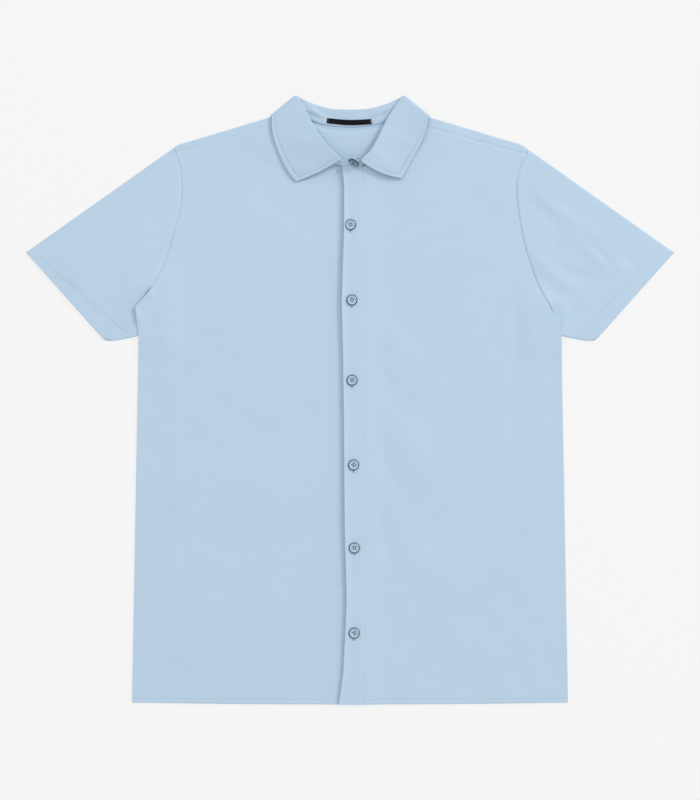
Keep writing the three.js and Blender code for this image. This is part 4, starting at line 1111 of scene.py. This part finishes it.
# Buttonholes: two rows of satin bars beside a slit, with a bar across each end; each slit is filled with a row of
# dark bars, painted shade in the opening
buttonhole = {"up": 5, "down": 9.4, "apart": 1.05, "bar": 1.6, "rise": 0.05, "points": 12, "barPoints": 4}
satin = {"pitch": 0.55, "length": 1.35, "thickness": 0.5, "turn": 90, "unevenness": 0.12, "seed": 11}
endBar = {**satin, "length": 1.2, "seed": 12}
# the dark bars along each slit: painted shade
slit = {**satin, "pitch": 0.9, "length": 1.3, "thickness": 0.4, "turn": 0}
satinRows, tacks, slitShadeLines = [], [], []


def onPlacket(x, y, rise):  # a line on the upper placket's top
    x, y = np.broadcast_arrays(np.array(x, float), y)
    return np.stack([x, y, upperBandFloor(x, y) + band["thick"] + rise], axis=1)


for x, y, twist in button["places"]:
    steps = np.linspace(y - buttonhole["down"], y + buttonhole["up"], buttonhole["points"])
    for shift in (-buttonhole["apart"], buttonhole["apart"]):
        satinRows.append(onPlacket(x + shift, steps, buttonhole["rise"]))
    for end in (steps[0], steps[-1]):
        px = np.linspace(x - buttonhole["bar"], x + buttonhole["bar"], buttonhole["barPoints"])
        tacks.append(onPlacket(px, end, buttonhole["rise"]))
    slitShadeLines.append(onPlacket(x, steps[1:-1], 0))
makeStitches("buttonhole_satin", satinRows, satin, seamThread)
makeStitches("buttonhole_tacks", tacks, endBar, seamThread)
makeStitches("buttonhole_slit_shade", slitShadeLines, slit, buttonThreadAndSlitShade)

# Three short bars that tack the hidden placket to the front
neckBar = {"from": -17, "to": -10.5, "onFront": -18, "y": [287.4, 285.7, 283.9], "rise": 0.1, "points": 5}
bars = []
for height in neckBar["y"]:
    x = np.linspace(neckBar["from"], neckBar["to"], neckBar["points"])
    y = x * 0 + height
    onFront = frontHeight(sideRight, x * 0 + neckBar["onFront"], y) + clothThick / 2 + neckBar["rise"]
    onBand = underBandFloor(x, y) + band["thick"] + neckBar["rise"]
    bars.append(np.stack([x, y, np.maximum(onFront, onBand)], axis=1))
makeStitches("placket_tacks", bars, {**satin, "pitch": 0.9, "length": 1.1, "turn": 0}, seamThread)
print("stage: buttons and buttonholes made")

# neck label

label = {
    "line": [(-28.9, 349.4), (-1, 347), (27.2, 348.2)], "height": 6.6, "thick": 0.6, "above": 0.35,
    "cell": 1.6, "rows": 7, "wave": 0.12, "waveLength": 9, "stitchIn": 1.6, "stitchRise": 0.02,
    "stitch": {"pitch": 1.0, "length": 0.8, "thickness": 0.4, "turn": 0, "unevenness": 0.1, "seed": 21},
}
line = spaced(curveThrough(label["line"]), label["cell"])
grid = np.array([moved(line, share * label["height"]) for share in np.linspace(-0.5, 0.5, label["rows"])])
z = stand["backZ"] + collar["thick"] / 2 + label["above"] + label["thick"] / 2
points = raised(grid, z + label["wave"] * np.cos(grid[..., 0] / label["waveLength"]))
clothShell("neck_label", points, label["thick"], labelTape, rounding=0.2, ending="_tape")
ends = []
for spot, inward in ((0, label["stitchIn"]), (-1, -label["stitchIn"])):
    ends.append(points[1:-1, spot] + np.array([inward, 0, label["thick"] / 2 + label["stitchRise"]]))
makeStitches("label_stitches", ends, label["stitch"], seamThread)
print("stage: label made")

# floor, light and camera

table = {"cells": 4, "halfWidth": 4, "colour": "#F6F6F6", "glow": 0.83, "matt": 0.14}  # half width in metres
floorMesh = bpy.data.meshes.new("floor")
work = bmesh.new()
bmesh.ops.create_grid(work, x_segments=table["cells"], y_segments=table["cells"], size=table["halfWidth"])
work.to_mesh(floorMesh)
work.free()
# Opal acrylic light table: matt white, lit from below, so that the garment hardly shades it
opal, opalTree = newMaterial("opalLightTable")
opalSurface = addNode(opalTree, "ShaderNodeBsdfPrincipled", {
    "Base Color": (*[table["matt"]] * 3, 1), "Roughness": 0.95,
    "Emission Color": linear(table["colour"]), "Emission Strength": table["glow"],
})
addNode(opalTree, "ShaderNodeOutputMaterial", {"Surface": opalSurface})
floor = addPiece("floor", floorMesh, opal)

world = bpy.data.worlds.new("studio")
bpy.context.scene.world = world
world.use_nodes = True
sky = world.node_tree.nodes["Background"].inputs  # plain white light from all round
sky["Color"].default_value = (1, 1, 1, 1)
sky["Strength"].default_value = 0.72

lamps = {  # soft boxes: place and side length in metres, power in watts
    "softboxRight": {"place": (5.1, 3.9, 4.2), "size": 1.6, "power": 205},
    "softboxTop": {"place": (-1.5, 3.0, 6.0), "size": 4, "power": 60},
}
for name, box in lamps.items():
    lamp = bpy.data.lights.new(name, "AREA")
    lamp.size = box["size"]
    lamp.energy = box["power"]
    lampObject = addObject(name, lamp)
    lampObject.location = box["place"]
    lampObject.rotation_euler = Vector(box["place"]).to_track_quat("Z", "Y").to_euler()

photo = {"viewHeight": 1.0, "lens": 100, "sensor": 36, "planeZ": 0.003, "middleY": 0.0003}  # straight above
camera = bpy.data.cameras.new("camera")
camera.lens = photo["lens"]
camera.sensor_width = photo["sensor"]
cameraObject = addObject("camera", camera)
distance = photo["viewHeight"] * photo["lens"] / photo["sensor"]
cameraObject.location = (0, photo["middleY"], photo["planeZ"] + distance)
bpy.context.scene.camera = cameraObject
bpy.context.scene.view_settings.view_transform = "Standard"
